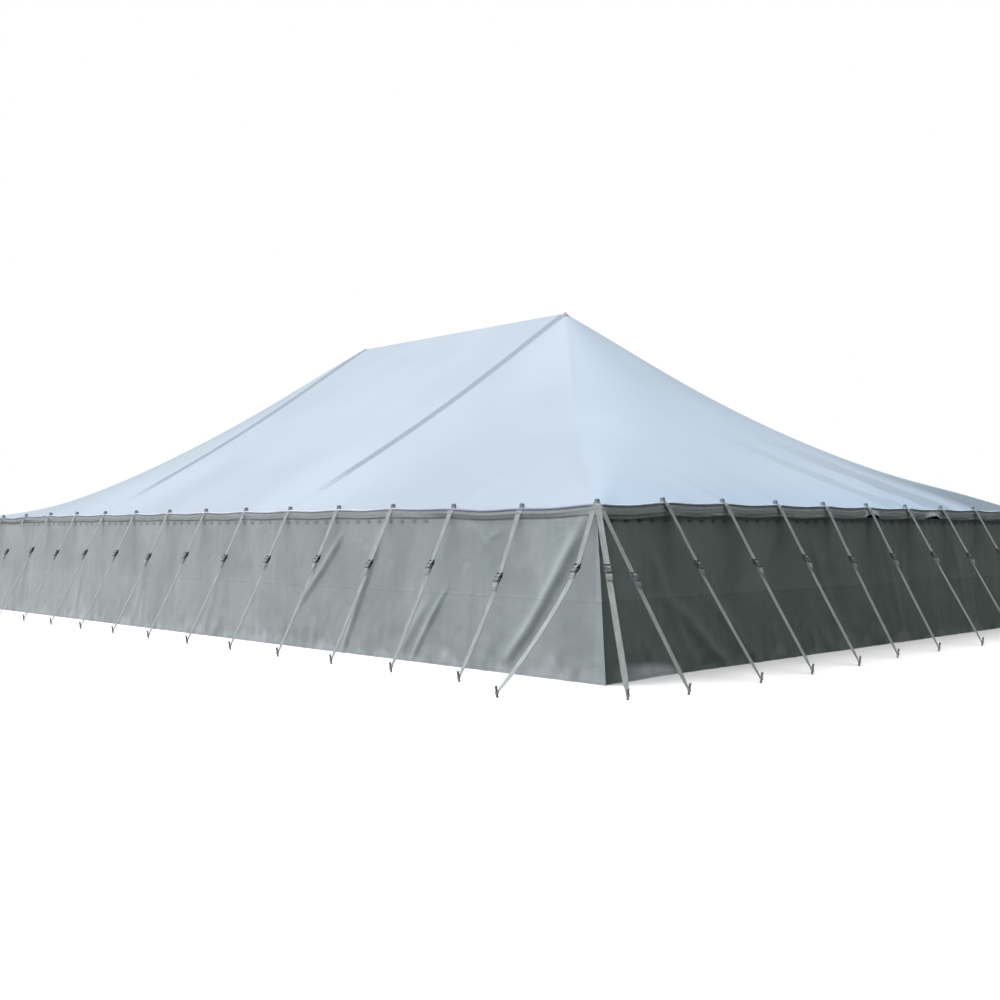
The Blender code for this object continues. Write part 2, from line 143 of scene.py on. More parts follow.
# Guys
FRONT_REACH = 0.96
END_REACH = 1.12
CORNER_REACH_FRONT = 1.50
CORNER_REACH_END = 1.20
CORNER_DIAGONAL = (1.00, 0.70)
STRAP_WIDTH = 0.066
EYE_WIDTH = 0.084
FRAME_INSET = 0.004
STRAP_THICKNESS = 0.0028
STRAP_FOOT = 0.055
RATCHET_PLACE = 0.36
LOW_RATCHET_PLACE = 0.405
HIGH_RATCHET_PLACE = 0.30
CORNER_SLACK = 0.185
NEXT_TO_CORNER_SLACK = 0.05
WEB_OUT = 0.0115
WEB_BELOW_EAVE = 0.076
WEB_WIDTH = 0.050
STAKE_HEIGHT = 0.125
STAKE_LEAN = 0.022
STAKE_RIM = 0.0023
KNOB_HEIGHT = 0.072

# A ratchet's spool and strap bar, down the strap from its middle and off the strap's face
SPOOL = (-0.004, 0.002)
STRAP_BAR = (-0.047, 0)

# Turn of a rod from upright to lying across a strap
ACROSS = Matrix.Rotation(math.pi / 2, 4, "Y")

# The photograph's camera
CAMERA_PLACE = (17.413, -15.677, 1.693)
CAMERA_PITCH = 1.4636
CAMERA_YAW = 45.796
SENSOR = 36.0
FOCAL_PIXELS = 1161.1
FRAME_PIXELS = 1000

# Light: azimuth, elevation and spread in degrees, and colour; strength in watts per square metre
SKY_STRENGTH = 0.130
FLOOR_REACH = 150
TOP_LIGHT = (262, 76, 3.40, 60, (1.0, 1.0, 1.0))
KEY_LIGHT = (225, 24, 4.35, 60, (1.0, 0.885, 1.0))
FILL_LIGHT = (130, 32, 1.6, 20, (1.0, 1.0, 1.0))
GUY_LIGHT = (270, 12, 2.7, 60, (1.0, 0.98, 1.0))
GUY_FILL = (160, 28, 2.4, 20, (1.0, 1.0, 1.0))
ROOF_PIECES = ("roof_cloth", "lacing")
GUY_PIECES = ("straps", "eave_rings", "stakes", "pole_knobs")

# Each side: turn about Z, half of its own length, distance of its wall line, reach of its guys
SIDES = {
    "front": (0, HALF_LENGTH, HALF_WIDTH, FRONT_REACH),
    "east": (90, HALF_WIDTH, HALF_LENGTH, END_REACH),
    "back": (180, HALF_LENGTH, HALF_WIDTH, FRONT_REACH),
    "west": (270, HALF_WIDTH, HALF_LENGTH, END_REACH),
}
KING_POLES = (("east", KING_X), ("west", -KING_X))
CORNERS = {
    "front_east": (1, -1),
    "back_east": (1, 1),
    "back_west": (-1, 1),
    "front_west": (-1, -1),
}

# Guys of an end side, in order: reach, and how far the stake stands along from its pole
END_GUYS = ((1.20, 0.15), (1.18, 0.05), (1.14, 0.02), (1.05, 0.0), (1.05, 0.0), (1.14, 0.0),
            (1.13, 0.0), (1.12, 0.0), (1.12, 0.0))

# Tension folds in the walls, in a side's own frame: place along the side and height of the
# upper end, the same of the lower end, half-width, height and bow of the fold
LONG_FOLDS = (
    (8.80, 1.82, 7.68, 0.22, 0.075, 0.043, 0.10),
    (7.00, 1.75, 7.27, 1.46, 0.022, 0.017, 0.00),
    (7.50, 1.68, 7.27, 1.58, 0.022, 0.013, 0.00),
    (6.52, 0.95, 5.90, 0.05, 0.035, 0.022, 0.00),
    (6.20, 0.80, 5.70, 0.15, 0.060, 0.016, 0.00),
    (5.20, 1.68, 4.42, 0.08, 0.048, 0.026, 0.02),
    (4.34, 1.64, 3.35, 0.62, 0.044, 0.024, 0.03),
    (1.30, 1.55, 0.70, 0.15, 0.070, 0.007, 0.02),
    (-1.10, 1.70, -1.75, 0.10, 0.080, 0.007, 0.02),
    (-3.60, 1.60, -4.10, 0.20, 0.070, 0.007, 0.02),
    (-6.20, 1.65, -6.90, 0.10, 0.080, 0.008, 0.02),
    (-8.86, 1.80, -7.80, 0.10, 0.060, 0.030, -0.05),
)
END_FOLDS = (
    (-5.20, 1.60, -4.30, 0.05, 0.090, 0.014, 0.00),
    (-4.70, 0.86, -3.70, 0.05, 0.080, 0.020, 0.00),
    (-3.90, 0.84, -3.00, 0.05, 0.090, 0.018, 0.00),
    (-1.60, 1.55, -0.90, 0.30, 0.080, 0.012, 0.00),
    (0.40, 1.70, 0.95, 0.20, 0.080, 0.014, 0.00),
    (2.70, 1.60, 3.30, 0.10, 0.080, 0.014, 0.00),
    (5.86, 1.80, 4.80, 0.10, 0.060, 0.026, 0.05),
)

# Where the east valance is blown up: start and end along the side
VALANCE_LIFTS = {"east": ((-0.12, 0.33), (1.77, 2.29))}


def to_world(side, along, out, height):
    """A point given along a side, outwards from its wall line, and up."""
    turn, _, distance, _ = SIDES[side]
    return Matrix.Rotation(math.radians(turn), 3, "Z") @ Vector((along, -distance - out, height))


def outward_of(side):
    """The direction out of a side."""
    return Matrix.Rotation(math.radians(SIDES[side][0]), 3, "Z") @ Vector((0, -1, 0))


def stations(side):
    """Places of a side's poles, without the corner poles."""
    half = SIDES[side][1]
    return [BAY * number - half for number in range(1, round(2 * half / BAY))]


def smooth_step(value, low, high):
    """0 below low, 1 above high, and a soft step between."""
    share = min(max((value - low) / (high - low), 0.0), 1.0)
    return share * share * (3 - 2 * share)


def rounded_max(first, second, rounding):
    """The larger of two numbers, rounded off where they are nearly equal."""
    if rounding <= 0:
        return max(first, second)
    closeness = max(rounding - abs(first - second), 0.0) / rounding
    return max(first, second) + closeness ** 3 * rounding / 6


def hip_closeness(past_king, across):
    """1 on a hip, falling to 0 on the middle line of a slope."""
    larger = max(past_king, across)
    if larger == 0:
        return 0.0
    apart = math.hypot((past_king - across) / larger, HIP_SOFTNESS) - HIP_SOFTNESS
    farthest = math.hypot(1, HIP_SOFTNESS) - HIP_SOFTNESS
    return max(1 - apart / farthest, 0.0) ** HIP_FOCUS


def eave_pucker(along, inward):
    """Canvas dipping between the poles and puckering around each of them."""
    dip = EAVE_DIP * math.sin(math.pi * along / BAY) ** 2
    dip *= max(1 - inward / DIP_REACH, 0.0) ** 2
    beside = (along + BAY / 2) % BAY - BAY / 2
    near = math.hypot(beside, inward)
    fan = math.cos(5 * math.atan2(beside, inward + 0.02)) * smooth_step(near, 0.02, 0.16)
    return PUCKER * fan * math.exp(-near / PUCKER_REACH) - dip


def edge_lift(x, y):
    """How much the canvas rises along the end walls and sags in the long sides' last bays."""
    at_end = smooth_step(abs(x), HALF_LENGTH - 1.6, HALF_LENGTH)
    rise = END_RISE * at_end * smooth_step(HALF_WIDTH - abs(y), 0.0, 1.6)
    last_bays = smooth_step(abs(x), 5.9, 7.2) * smooth_step(HALF_LENGTH - abs(x), 0.1, 1.2)
    return rise - CORNER_BAY_SAG * last_bays * smooth_step(abs(y), HALF_WIDTH - 1.6, HALF_WIDTH)


def roof_height(x, y):
    """Height of the canvas's upper face over a point of the plan."""
    past_king = max(abs(x) - KING_X, 0.0)
    across = abs(y)
    larger = max(past_king, across)
    hump = max(math.sin(math.pi * larger / HALF_WIDTH), 0.0)
    run = rounded_max(past_king, across, HIP_ROUNDING * hump) / HALF_WIDTH
    near_hip = hip_closeness(past_king, across)
    sag = (FLANK_SAG + HIP_SAG * near_hip) * hump ** SAG_POWER
    if x < 0:
        sag += WEST_SLACK * near_hip * math.sin(math.pi * min(run, 1.0) ** WEST_SLACK_PLACE)
    height = PEAK_HEIGHT - (PEAK_HEIGHT - EAVE_HEIGHT) * run - sag
    along = corner_distance(x, y)
    swell = PANEL_SWELL * math.sin(math.pi * along / PANEL_WIDTH) ** 2 * hump
    return height + swell + eave_pucker(along, HALF_WIDTH - larger) + edge_lift(x, y)


def corner_distance(x, y):
    """Distance along the eave from the nearest corner, for the slope that a point lies on."""
    if abs(y) >= abs(x) - KING_X:
        return HALF_LENGTH - abs(x)
    return HALF_WIDTH - abs(y)


def roof_uv(x, y):
    """Cloth coordinates in metres: along the eave from the corner, and down the slope."""
    larger = max(abs(x) - KING_X, abs(y))
    return corner_distance(x, y), larger * SLOPE_LENGTH / HALF_WIDTH


def eave_height(side, along):
    """Height of the canvas's edge at a place along a side."""
    edge = to_world(side, along, 0, 0)
    return roof_height(edge.x, edge.y)


def pole_top(side, along):
    """Where the eave crosses a pole of a side."""
    place = to_world(side, along, 0, EAVE_HEIGHT)
    place.z += edge_lift(place.x, place.y)
    return place


def add_node(tree, kind, values=None, **settings):
    """Add a node to a tree, with values or links for its inputs."""
    node = tree.nodes.new(kind)
    for name, value in settings.items():
        setattr(node, name, value)
    for name, value in (values or {}).items():
        if isinstance(value, Value):
            value = value.socket
        if isinstance(value, bpy.types.NodeSocket):
            tree.links.new(value, node.inputs[name])
        else:
            node.inputs[name].default_value = value
    return node


class Value:
    """A value that a material's nodes work out, so that a sum of values reads as a plain sum."""

    def __init__(self, socket):
        self.socket = socket

    def worked(self, operation, first, second=0.0):
        """A Math node on one or two values."""
        return Value(add_node(self.socket.id_data, "ShaderNodeMath", {0: first, 1: second},
                              operation=operation).outputs[0])

    def __add__(self, other):
        return self.worked("ADD", self, other)

    def __sub__(self, other):
        return self.worked("SUBTRACT", self, other)

    def __rsub__(self, other):
        return self.worked("SUBTRACT", other, self)

    def __mul__(self, other):
        return self.worked("MULTIPLY", self, other)

    def __abs__(self):
        return self.worked("ABSOLUTE", self)

    def larger(self, other):
        """The larger of two values."""
        return self.worked("MAXIMUM", self, other)

    def wave(self, length):
        """A sine wave of a length along the value."""
        return self.worked("SINE", self * (math.tau / length))

    def repeat(self, step):
        """Distance to the nearest multiple of a step."""
        return self.worked("PINGPONG", self, step / 2)

    def between(self, low, high, start=0.0, end=1.0):
        """Map low..high to start..end, softly and held at both ends."""
        return Value(add_node(self.socket.id_data, "ShaderNodeMapRange",
                              {"Value": self, "From Min": low, "From Max": high,
                               "To Min": start, "To Max": end},
                              interpolation_type="SMOOTHSTEP").outputs["Result"])

    def fade(self, low, high):
        """1 below low, 0 above high, and a soft step between."""
        return self.between(low, high, 1.0, 0.0)

    def line(self, middle, half_width):
        """1 within half_width of a middle, and 0 away from it."""
        return abs(self - middle).fade(half_width * 0.6, half_width)


class Finish:
    """A procedural material while its nodes are being laid out."""

    def __init__(self, name, roughness, on_cloth=False, others=()):
        self.material = bpy.data.materials.new(name)
        self.material.use_nodes = True
        self.tree = self.material.node_tree
        self.shader = self.tree.nodes["Principled BSDF"]
        for label, value in (("Roughness", roughness), *others):
            self.shader.inputs[label].default_value = value
        place = add_node(self.tree, "ShaderNodeTexCoord")
        self.spot = place.outputs["Object"]
        self.place = place.outputs["UV"] if on_cloth else self.spot

    def axis(self, name):
        """One coordinate on the cloth, or in the tent's frame for a piece that isn't cloth."""
        return Value(add_node(self.tree, "ShaderNodeSeparateXYZ", {0: self.place}).outputs[name])

    def where(self, name):
        """One coordinate in the tent's own frame, for a mark at one place."""
        return Value(add_node(self.tree, "ShaderNodeSeparateXYZ", {0: self.spot}).outputs[name])

    def texture(self, kind, factors, output, values=None):
        """A texture with one feature for each 1/factor metres along each axis."""
        place = add_node(self.tree, "ShaderNodeVectorMath", {0: self.place, 1: factors},
                         operation="MULTIPLY").outputs[0]
        return Value(add_node(self.tree, "ShaderNodeTex" + kind,
                              {"Vector": place, "Scale": 1.0, **(values or {})}).outputs[output])

    def cloud(self, factors, detail=3.0, warp=0.0):
        """Soft noise from 0 to 1."""
        return self.texture("Noise", factors, "Fac", {"Detail": detail, "Distortion": warp})

    def cells(self, factors):
        """Distance to the nearest of scattered points, for crystals and specks."""
        return self.texture("Voronoi", factors, "Distance")

    def weave(self, pitch, height):
        """Threads of a plain weave as a height."""
        return self.axis("X").wave(pitch) * self.axis("Y").wave(pitch) * height

    def paint(self, base, *coats):
        """A base colour under coats of other colours, each given with its share."""
        colour = (*base, 1.0)
        for share, coat in coats:
            colour = add_node(self.tree, "ShaderNodeMix",
                              {0: share, 6: colour, 7: (*coat, 1.0)},
                              data_type="RGBA").outputs[2]
        return colour

    def done(self, colour, relief=None, roughness=None):
        """Connect the colour, the relief in metres and the roughness, and give the material."""
        self.tree.links.new(colour, self.shader.inputs["Base Color"])
        if roughness:
            self.tree.links.new(roughness.socket, self.shader.inputs["Roughness"])
        if relief:
            bump = add_node(self.tree, "ShaderNodeBump",
                            {"Height": relief, "Distance": 1.0, "Strength": 1.0})
            self.tree.links.new(bump.outputs["Normal"], self.shader.inputs["Normal"])
        return self.material


def roof_finish():
    """Coated canvas, pale blue-white, with welded panel seams, faint weather streaks and painted
    shade towards the east end.
    """
    cloth = Finish("roof_canvas", 0.42, on_cloth=True)
    along, down = cloth.axis("X"), cloth.axis("Y")
    x, y = cloth.where("X"), cloth.where("Y")
    clouds = cloth.cloud((0.35, 0.25, 1.0), detail=2.0)
    seam = along.repeat(PANEL_WIDTH).line(0.0, 0.022)
    hem = down.between(SLOPE_LENGTH - 0.075, SLOPE_LENGTH - 0.068)
    streaks = cloth.cloud((5.0, 0.22, 1.0), detail=5.0).between(0.50, 0.78)
    dirt = streaks * down.between(SLOPE_LENGTH - 1.6, SLOPE_LENGTH - 0.05, 0.25, 1.0)
    specks = cloth.cells((7.0, 7.0, 1.0)).fade(0.0, 0.07)
    # The roof cloth darker in a band beside each lacing flap.
    by_lacing = abs(abs(x) - KING_X).fade(0.07, 0.16)
    by_lacing = by_lacing * abs(y).fade(STRIP_END - 0.5, STRIP_END + 0.2)
    # Painted shade: the east end slope painted bluer and darker towards its eave, and the long
    # slopes painted darker towards the east end.
    past_hip = x - abs(y)
    on_end = past_hip.between(KING_X - 0.3, KING_X + 0.3)
    flank_shade = x.between(2.6, 5.5) * past_hip.fade(KING_X + 0.1, KING_X + 1.5)
    foot = on_end * down.between(SLOPE_LENGTH - 1.4, SLOPE_LENGTH)
    # A darker streaky patch towards the back corner of the east end slope.
    slant = y + x * -0.8 + clouds * 1.2 + cloth.cloud((1.6, 0.35, 1.0), detail=4.0) * 0.8
    bands = slant.line(-5.1, 0.34) * 0.26 + slant.line(-3.75, 0.42) * 0.42
    darkened = slant.between(-3.3, -2.2).larger(bands)
    darkened = darkened * (on_end * (x + clouds * 2.0).between(7.3, 9.6))
    colour = cloth.paint(
        (0.605, 0.70, 0.812),
        (clouds, (0.645, 0.735, 0.842)),
        (flank_shade * 0.60, (0.54, 0.632, 0.742)),
        (on_end * 0.50, (0.57, 0.712, 0.870)),
        (foot * 0.40, (0.49, 0.655, 0.870)),
        (dirt * 0.16, (0.42, 0.47, 0.50)),
        (darkened * 0.80, (0.235, 0.295, 0.360)),
        (seam * 0.10, (0.46, 0.56, 0.68)),
        (by_lacing * 0.56, (0.30, 0.365, 0.44)),
        (hem * 0.14, (0.45, 0.53, 0.62)),
        (specks * 0.20, (0.40, 0.44, 0.44)))
    ripple = cloth.cloud((1.3, 0.5, 1.0), detail=2.0, warp=0.6) * 0.010
    crease = cloth.cloud((9.0, 5.0, 1.0), detail=3.0) * 0.0010
    relief = ripple + crease + seam * 0.0012 + hem * 0.0010 + cloth.weave(0.004, 0.00006)
    return cloth.done(colour, relief, clouds.between(0.3, 0.7, 0.38, 0.50))


def hook_shadows(cloth, along, height, beside_corner):
    """Painted shade in the gathers under the wall's hooks, stronger in some stretches than in
    others.
    """
    off_hook = (along - HOOK_START).repeat(HOOK_SPACING)
    narrowing = abs(height - HOOK_SHADOW) * 1.6
    hook_shade = (off_hook - narrowing).between(0.026, 0.115)
    hook_shade = hook_shade * cloth.cloud((1.7, 0.3, 1.0)).between(0.27, 0.52)
    return (hook_shade - beside_corner).larger(0.0)


def wall_finish():
    """Matt grey-green canvas, dusty at the foot, with its seams, hems and small creases, and painted
    light and shade on the walls.
    """
    cloth = Finish("wall_canvas", 0.85, on_cloth=True,
                   others=(("Sheen Weight", 0.15), ("Sheen Roughness", 0.6)))
    along, height = cloth.axis("X"), cloth.axis("Y")
    x, y = cloth.where("X"), cloth.where("Y")
    mottle = cloth.cloud((1.1, 0.9, 1.0), detail=5.0, warp=0.5).between(0.30, 0.70)
    streaks = cloth.cloud((7.0, 0.5, 1.0), detail=4.0).between(0.42, 0.75)
    blotch = cloth.cloud((3.0, 3.5, 1.0), detail=4.0).between(0.55, 0.75)
    dust_edge = cloth.cloud((1.6, 0.6, 1.0), detail=4.0).between(0.40, 0.72, 0.02, 0.34)
    dust = (height - dust_edge).fade(-0.14, 0.03)
    seam = height.line(WALL_SEAM, 0.013)
    seam_shade = height.line(WALL_SEAM - 0.022, 0.012)
    join = along.repeat(WALL_PANEL).line(0.0, 0.012)
    hem = height.fade(WALL_HEM - 0.005, WALL_HEM)
    top_hem = height.between(WALL_TOP_HEM - 0.005, WALL_TOP_HEM)
    lower = height.fade(WALL_SEAM - 0.01, WALL_SEAM)
    on_end = abs(x).between(HALF_LENGTH - 0.015, HALF_LENGTH - 0.005)
    # Painted shade in the gathers under the hooks.
    hook_shade = hook_shadows(cloth, along, height, abs(x).between(6.0, 6.6) - on_end)
    # Painted shade: the long walls darker towards the east end.
    near = (x + mottle).between(-3.0, 8.5) * (1.0 - on_end)
    # Painted shade: the end walls darker towards the back.
    end_wall_shade = on_end * y.between(-5.0, 0.5)
    # Painted light: the end walls paler beside the front corners.
    corner_light = on_end * y.fade(-5.9, -3.4)
    # Painted light: the valances of the end walls painted much paler.
    valance = on_end * cloth.where("Z").between(WALL_TOP, WALL_TOP + 0.012)
    # The walls paler below the seam, less so towards the east end of the long walls.
    paler_below_seam = lower * (1.0 - near)
    # A pale band at the foot of the end walls near the front corners: a light sod cloth, painted
    # paler still as painted light.
    lit_sod_band = (height + mottle * 0.07 + y * 0.05).fade(-0.15, -0.04)
    lit_sod_band = lit_sod_band * y.between(-5.98, -5.2) * y.fade(-4.9, -4.5) * on_end
    colour = cloth.paint(
        (0.188, 0.242, 0.223),
        (mottle, (0.246, 0.310, 0.287)),
        (lower * on_end * 0.38, (0.098, 0.150, 0.138)),
        (paler_below_seam * 0.14, (0.300, 0.360, 0.345)),
        (near * 0.26, (0.120, 0.155, 0.145)),
        (end_wall_shade * 0.30, (0.082, 0.130, 0.116)),
        (corner_light * 0.24, (0.255, 0.345, 0.328)),
        (valance * 0.90, (0.580, 0.660, 0.680)),
        (streaks * 0.12, (0.150, 0.186, 0.175)),
        (blotch * 0.24, (0.290, 0.340, 0.330)),
        (dust * 0.40, (0.370, 0.410, 0.420)),
        (lit_sod_band * 0.95, (0.84, 0.90, 0.95)),
        (seam * 0.05, (0.320, 0.370, 0.350)),
        (seam_shade * 0.10, (0.100, 0.124, 0.118)),
        (hook_shade * 0.80, (0.060, 0.076, 0.072)),
        (join * 0.15, (0.130, 0.160, 0.152)),
        (hem * 0.12, (0.130, 0.160, 0.152)))
    relief = cloth.cloud((4.5, 3.0, 1.0), detail=4.0, warp=0.8) * 0.012
    for sewn, rise in ((seam, 0.0006), (join, 0.0010), (hem, 0.0010), (top_hem, 0.0010)):
        relief = relief + sewn * rise
    return cloth.done(colour, relief + cloth.weave(0.003, 0.00010))


def strip_finish():
    """The cloth flap over the lacing: the roof's cloth, greyed by dirt, with painted shade along its
    edges.
    """
    flap = Finish("lacing_strip", 0.6, on_cloth=True)
    # Painted shade along the flap's edges.
    edge = abs(flap.axis("Y")).between(0.045, 0.072)
    end = abs(flap.axis("X")).between(STRIP_END - 0.7, STRIP_END)
    darkened = flap.cloud((9.0, 60.0, 1.0), detail=4.0).between(0.35, 0.7)
    colour = flap.paint((0.410, 0.490, 0.580), (darkened, (0.355, 0.430, 0.510)),
                        (edge * 0.30, (0.26, 0.32, 0.39)), (end * 0.75, (0.60, 0.69, 0.80)))
    return flap.done(colour, flap.weave(0.003, 0.0001))


def webbing_finish(name, light, dark):
    """Woven webbing: diagonal ribs, a plainer selvedge at each edge, and handling dirt."""
    web = Finish(name, 0.75, on_cloth=True)
    apart = abs(web.axis("Y"))
    twill = (web.axis("X") + apart).wave(0.0035)
    edge = apart.between(STRAP_WIDTH * 0.41, STRAP_WIDTH * 0.45)
    grime = web.cloud((6.0, 30.0, 1.0), detail=4.0).between(0.35, 0.75)
    colour = web.paint(light, (grime, dark), (twill.between(-1.0, 1.0, 0.22, 0.0), dark),
                       (edge * 0.35, dark))
    return web.done(colour, twill * 0.00025 + edge * 0.0004)


def eave_webbing_finish():
    """The webbing along the valance, with painted shade beside the corners of the long sides and
    painted light on the end sides.
    """
    web = Finish("eave_webbing", 0.8, on_cloth=True)
    far_out = abs(web.where("X"))
    # Painted shade beside the corners of the long sides.
    beside_corner = far_out.between(5.9, 6.5) * far_out.fade(8.2, HALF_LENGTH - 0.02)
    grime = web.cloud((6.0, 30.0, 1.0), detail=4.0).between(0.35, 0.75)
    # Painted light: the webbing on the end sides painted much paler.
    on_end = far_out.between(HALF_LENGTH - 0.01, HALF_LENGTH)
    colour = web.paint((0.200, 0.252, 0.235), (grime, (0.150, 0.190, 0.178)),
                       (beside_corner * 0.80, (0.080, 0.100, 0.095)),
                       (on_end * 0.70, (0.440, 0.510, 0.520)))
    return web.done(colour, web.axis("Y").wave(0.006) * 0.0002)


def edge_finish():
    """The roof's roped edge, with painted shade towards the ends of the long sides and painted light
    along the end sides.
    """
    edge = Finish("roof_edge", 0.8, others=(("Specular IOR Level", 0.2),))
    far_out = abs(edge.where("X"))
    on_end = far_out.between(HALF_LENGTH - 0.03, HALF_LENGTH - 0.01)
    wear = edge.cloud((3.0, 3.0, 3.0), detail=4.0).between(0.4, 0.7, 0.0, 0.3)
    # Painted shade towards the ends of the long sides, and painted light along the end sides.
    return edge.done(edge.paint(
        (0.38, 0.44, 0.48), (far_out.between(4.5, 7.5), (0.190, 0.235, 0.280)),
        (on_end, (0.47, 0.58, 0.68)), (wear, (0.30, 0.34, 0.36))))


def galvanised_finish(name, light, dark, roughness):
    """Zinc-coated steel with its crystal bloom, dull streaks and a little rust."""
    steel = Finish(name, roughness, others=(("Metallic", 0.85),))
    bloom = steel.cells((55.0, 55.0, 25.0)).between(0.15, 0.75)
    dull = steel.cloud((9.0, 9.0, 2.5), detail=5.0).between(0.35, 0.70)
    rust = steel.cloud((30.0, 30.0, 12.0), detail=6.0).between(0.66, 0.80)
    colour = steel.paint(light, (bloom, dark), (dull * 0.45, dark),
                         (rust * 0.55, (0.16, 0.075, 0.035)))
    return steel.done(colour, bloom * 0.0003, dull.between(0.0, 1.0, roughness, roughness + 0.25))


def moulded_finish(name, dark, light, roughness=0.5):
    """Moulded plastic, faded in patches by weather."""
    cap = Finish(name, roughness, others=(("Specular IOR Level", 0.3),))
    fade = cap.cloud((40.0, 40.0, 40.0), detail=4.0).between(0.35, 0.75)
    grain = cap.cloud((900.0, 900.0, 900.0), detail=2.0) * 0.0004
    return cap.done(cap.paint(dark, (fade, light)), grain,
                    fade.between(0.0, 1.0, roughness - 0.08, roughness + 0.12))


def rope_finish(name, light, dark):
    """Laid rope, its strands shown as slanting bands."""
    rope = Finish(name, 0.8)
    strands = (rope.axis("X") + rope.axis("Y") + rope.axis("Z") * 1.3).wave(0.012)
    fuzz = rope.cloud((250.0, 250.0, 250.0)) * 0.3
    colour = rope.paint(dark, (strands.between(-1.0, 0.6), light), (fuzz, dark))
    return rope.done(colour, strands * 0.0009)


def spread(low, high, step):
    """Even places from low to high, about a step apart."""
    count = round(abs(high - low) / step)
    return [low + (high - low) * number / count for number in range(count + 1)]


def add_object(name, data):
    """A new object in the scene."""
    item = bpy.data.objects.new(name, data)
    bpy.context.scene.collection.objects.link(item)
    return item


def add_piece(name, shape, finish=None):
    """A smooth mesh piece from a shape: its points, faces and cloth coordinates, if any."""
    points, faces, uvs = shape
    mesh = bpy.data.meshes.new(name)
    mesh.from_pydata([tuple(point) for point in points], [], faces)
    if uvs:
        layer = mesh.uv_layers.new(name="cloth")
        for loop in mesh.loops:
            layer.data[loop.index].uv = uvs[loop.vertex_index]
    mesh.shade_smooth()
    if finish:
        mesh.materials.append(finish)
    return add_object(name, mesh)


def change_mesh(piece, change):
    """Work on a piece's mesh with a function."""
    bm = bmesh.new()
    bm.from_mesh(piece.data)
    change(bm)
    bm.to_mesh(piece.data)
    bm.free()


def crisp_rim(bm):
    """Keep a sheet's shading from bending round its cut edges."""
    for edge in bm.edges:
        edge.smooth = not edge.is_boundary


def face_outwards(bm):
    """Turn the faces of closed shapes outwards."""
    bmesh.ops.recalc_face_normals(bm, faces=bm.faces)


def settle(piece, slot, *nodes):
    """Fix a finished piece to the tent, and hide the nodes it replaces. The slot is not used."""
    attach(piece, "root")
    if nodes:
        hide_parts(*nodes)


def settle_closed(piece, sharp_angle, slot, *nodes):
    """Fix a closed piece to the tent, its faces outwards and its edges past an angle sharp."""
    change_mesh(piece, face_outwards)
    piece.data.set_sharp_from_angle(angle=math.radians(sharp_angle))
    settle(piece, slot, *nodes)


def add_sheet(name, shape, finish, thickness, slot, node):
    """A cloth piece: an open sheet that has its thickness on its inner side."""
    sheet = add_piece(name, shape, finish)
    change_mesh(sheet, crisp_rim)
    solidify = sheet.modifiers.new("thickness", "SOLIDIFY")
    solidify.thickness = thickness
    solidify.offset = -1.0
    settle(sheet, slot, node)
    return sheet


def grid(alongs, acrosses, place):
    """The shape of a sheet, from a rule that gives a point and its cloth coordinates."""
    points, uvs = zip(*[place(along, across) for across in acrosses for along in alongs])
    wide = len(alongs)
    faces = [(start, start + 1, start + wide + 1, start + wide)
             for row in range(len(acrosses) - 1)
             for start in range(row * wide, row * wide + wide - 1)]
    return points, faces, uvs


def split_towards_peak(faces, points):
    """Cut each quad of the roof along the way from the peak to the corner of its quarter."""
    cut = []
    for low_left, low_right, high_right, high_left in faces:
        middle = (Vector(points[low_left]) + Vector(points[high_right])) / 2
        if middle.x * middle.y > 0:
            cut += [(low_left, low_right, high_right), (low_left, high_right, high_left)]
        else:
            cut += [(low_left, low_right, high_left), (low_right, high_right, high_left)]
    return cut


def build_roof(finish):
    """The three laced sections that meet at the king poles, each a continuous curved sheet."""
    middle_flat = (2 * KING_X, 2 * SLOPE_LENGTH)
    end_flat = (2 * SLOPE_LENGTH, SLOPE_LENGTH)
    end_plan = (HALF_LENGTH - KING_X) * 2 * HALF_WIDTH
    end_area = end_plan * SLOPE_LENGTH / HALF_WIDTH
    for name, node, low_x, high_x, flat, area, king_poles in (
            ("west", "roof_west_end", -HALF_LENGTH, -KING_X, end_flat, end_area, ["king_pole_west"]),
            ("middle", "roof_middle", -KING_X, KING_X, middle_flat, None,
             ["king_pole_east", "king_pole_west"]),
            ("east", "roof_east_end", KING_X, HALF_LENGTH, end_flat, end_area, ["king_pole_east"])):
        points, faces, uvs = grid(
            spread(low_x, high_x, ROOF_CELL), spread(-HALF_WIDTH, HALF_WIDTH, ROOF_CELL),
            lambda x, y: ((x, y, roof_height(x, y)), roof_uv(x, y)))
        shape = points, split_towards_peak(faces, points), uvs
        sheet = add_sheet("roof_cloth_" + name, shape, finish, ROOF_CLOTH, "roof_canvas", node)
        king_poles + ["pole_tubes"]


def strip_point(x, y, across):
    """A point on the lacing flap, which arches a little over the lacing."""
    ripple = 0.003 * noise.noise(Vector((x, y * 3, 4.0)))
    loose = smooth_step(STRIP_END - abs(y), 0.0, 0.6)
    arch = 0.007 * (1 - (2 * across / STRIP_WIDTH) ** 2)
    edge = x + across + ripple
    return (edge, y, roof_height(edge, y) + 0.002 + arch * loose)


def build_lacing_strip(end, x, finish):
    """The flap over the lacing of two sections, from eave to eave over the king pole."""
    shape = grid(spread(-STRIP_WIDTH / 2, STRIP_WIDTH / 2, STRIP_WIDTH / 6),
                 spread(-STRIP_END, STRIP_END, STRIP_CELL),
                 lambda across, y: (strip_point(x, y, across), (y, across)))
    strip = add_sheet("lacing_flap_" + end, shape, finish, STRIP_CLOTH, "lacing_strip",
                      "lacing_strip_" + end)


def pole_noise(value, seed):
    """Repeatable noise from -1 to 1 along a line."""
    return noise.noise(Vector((value, seed, 0.5)))


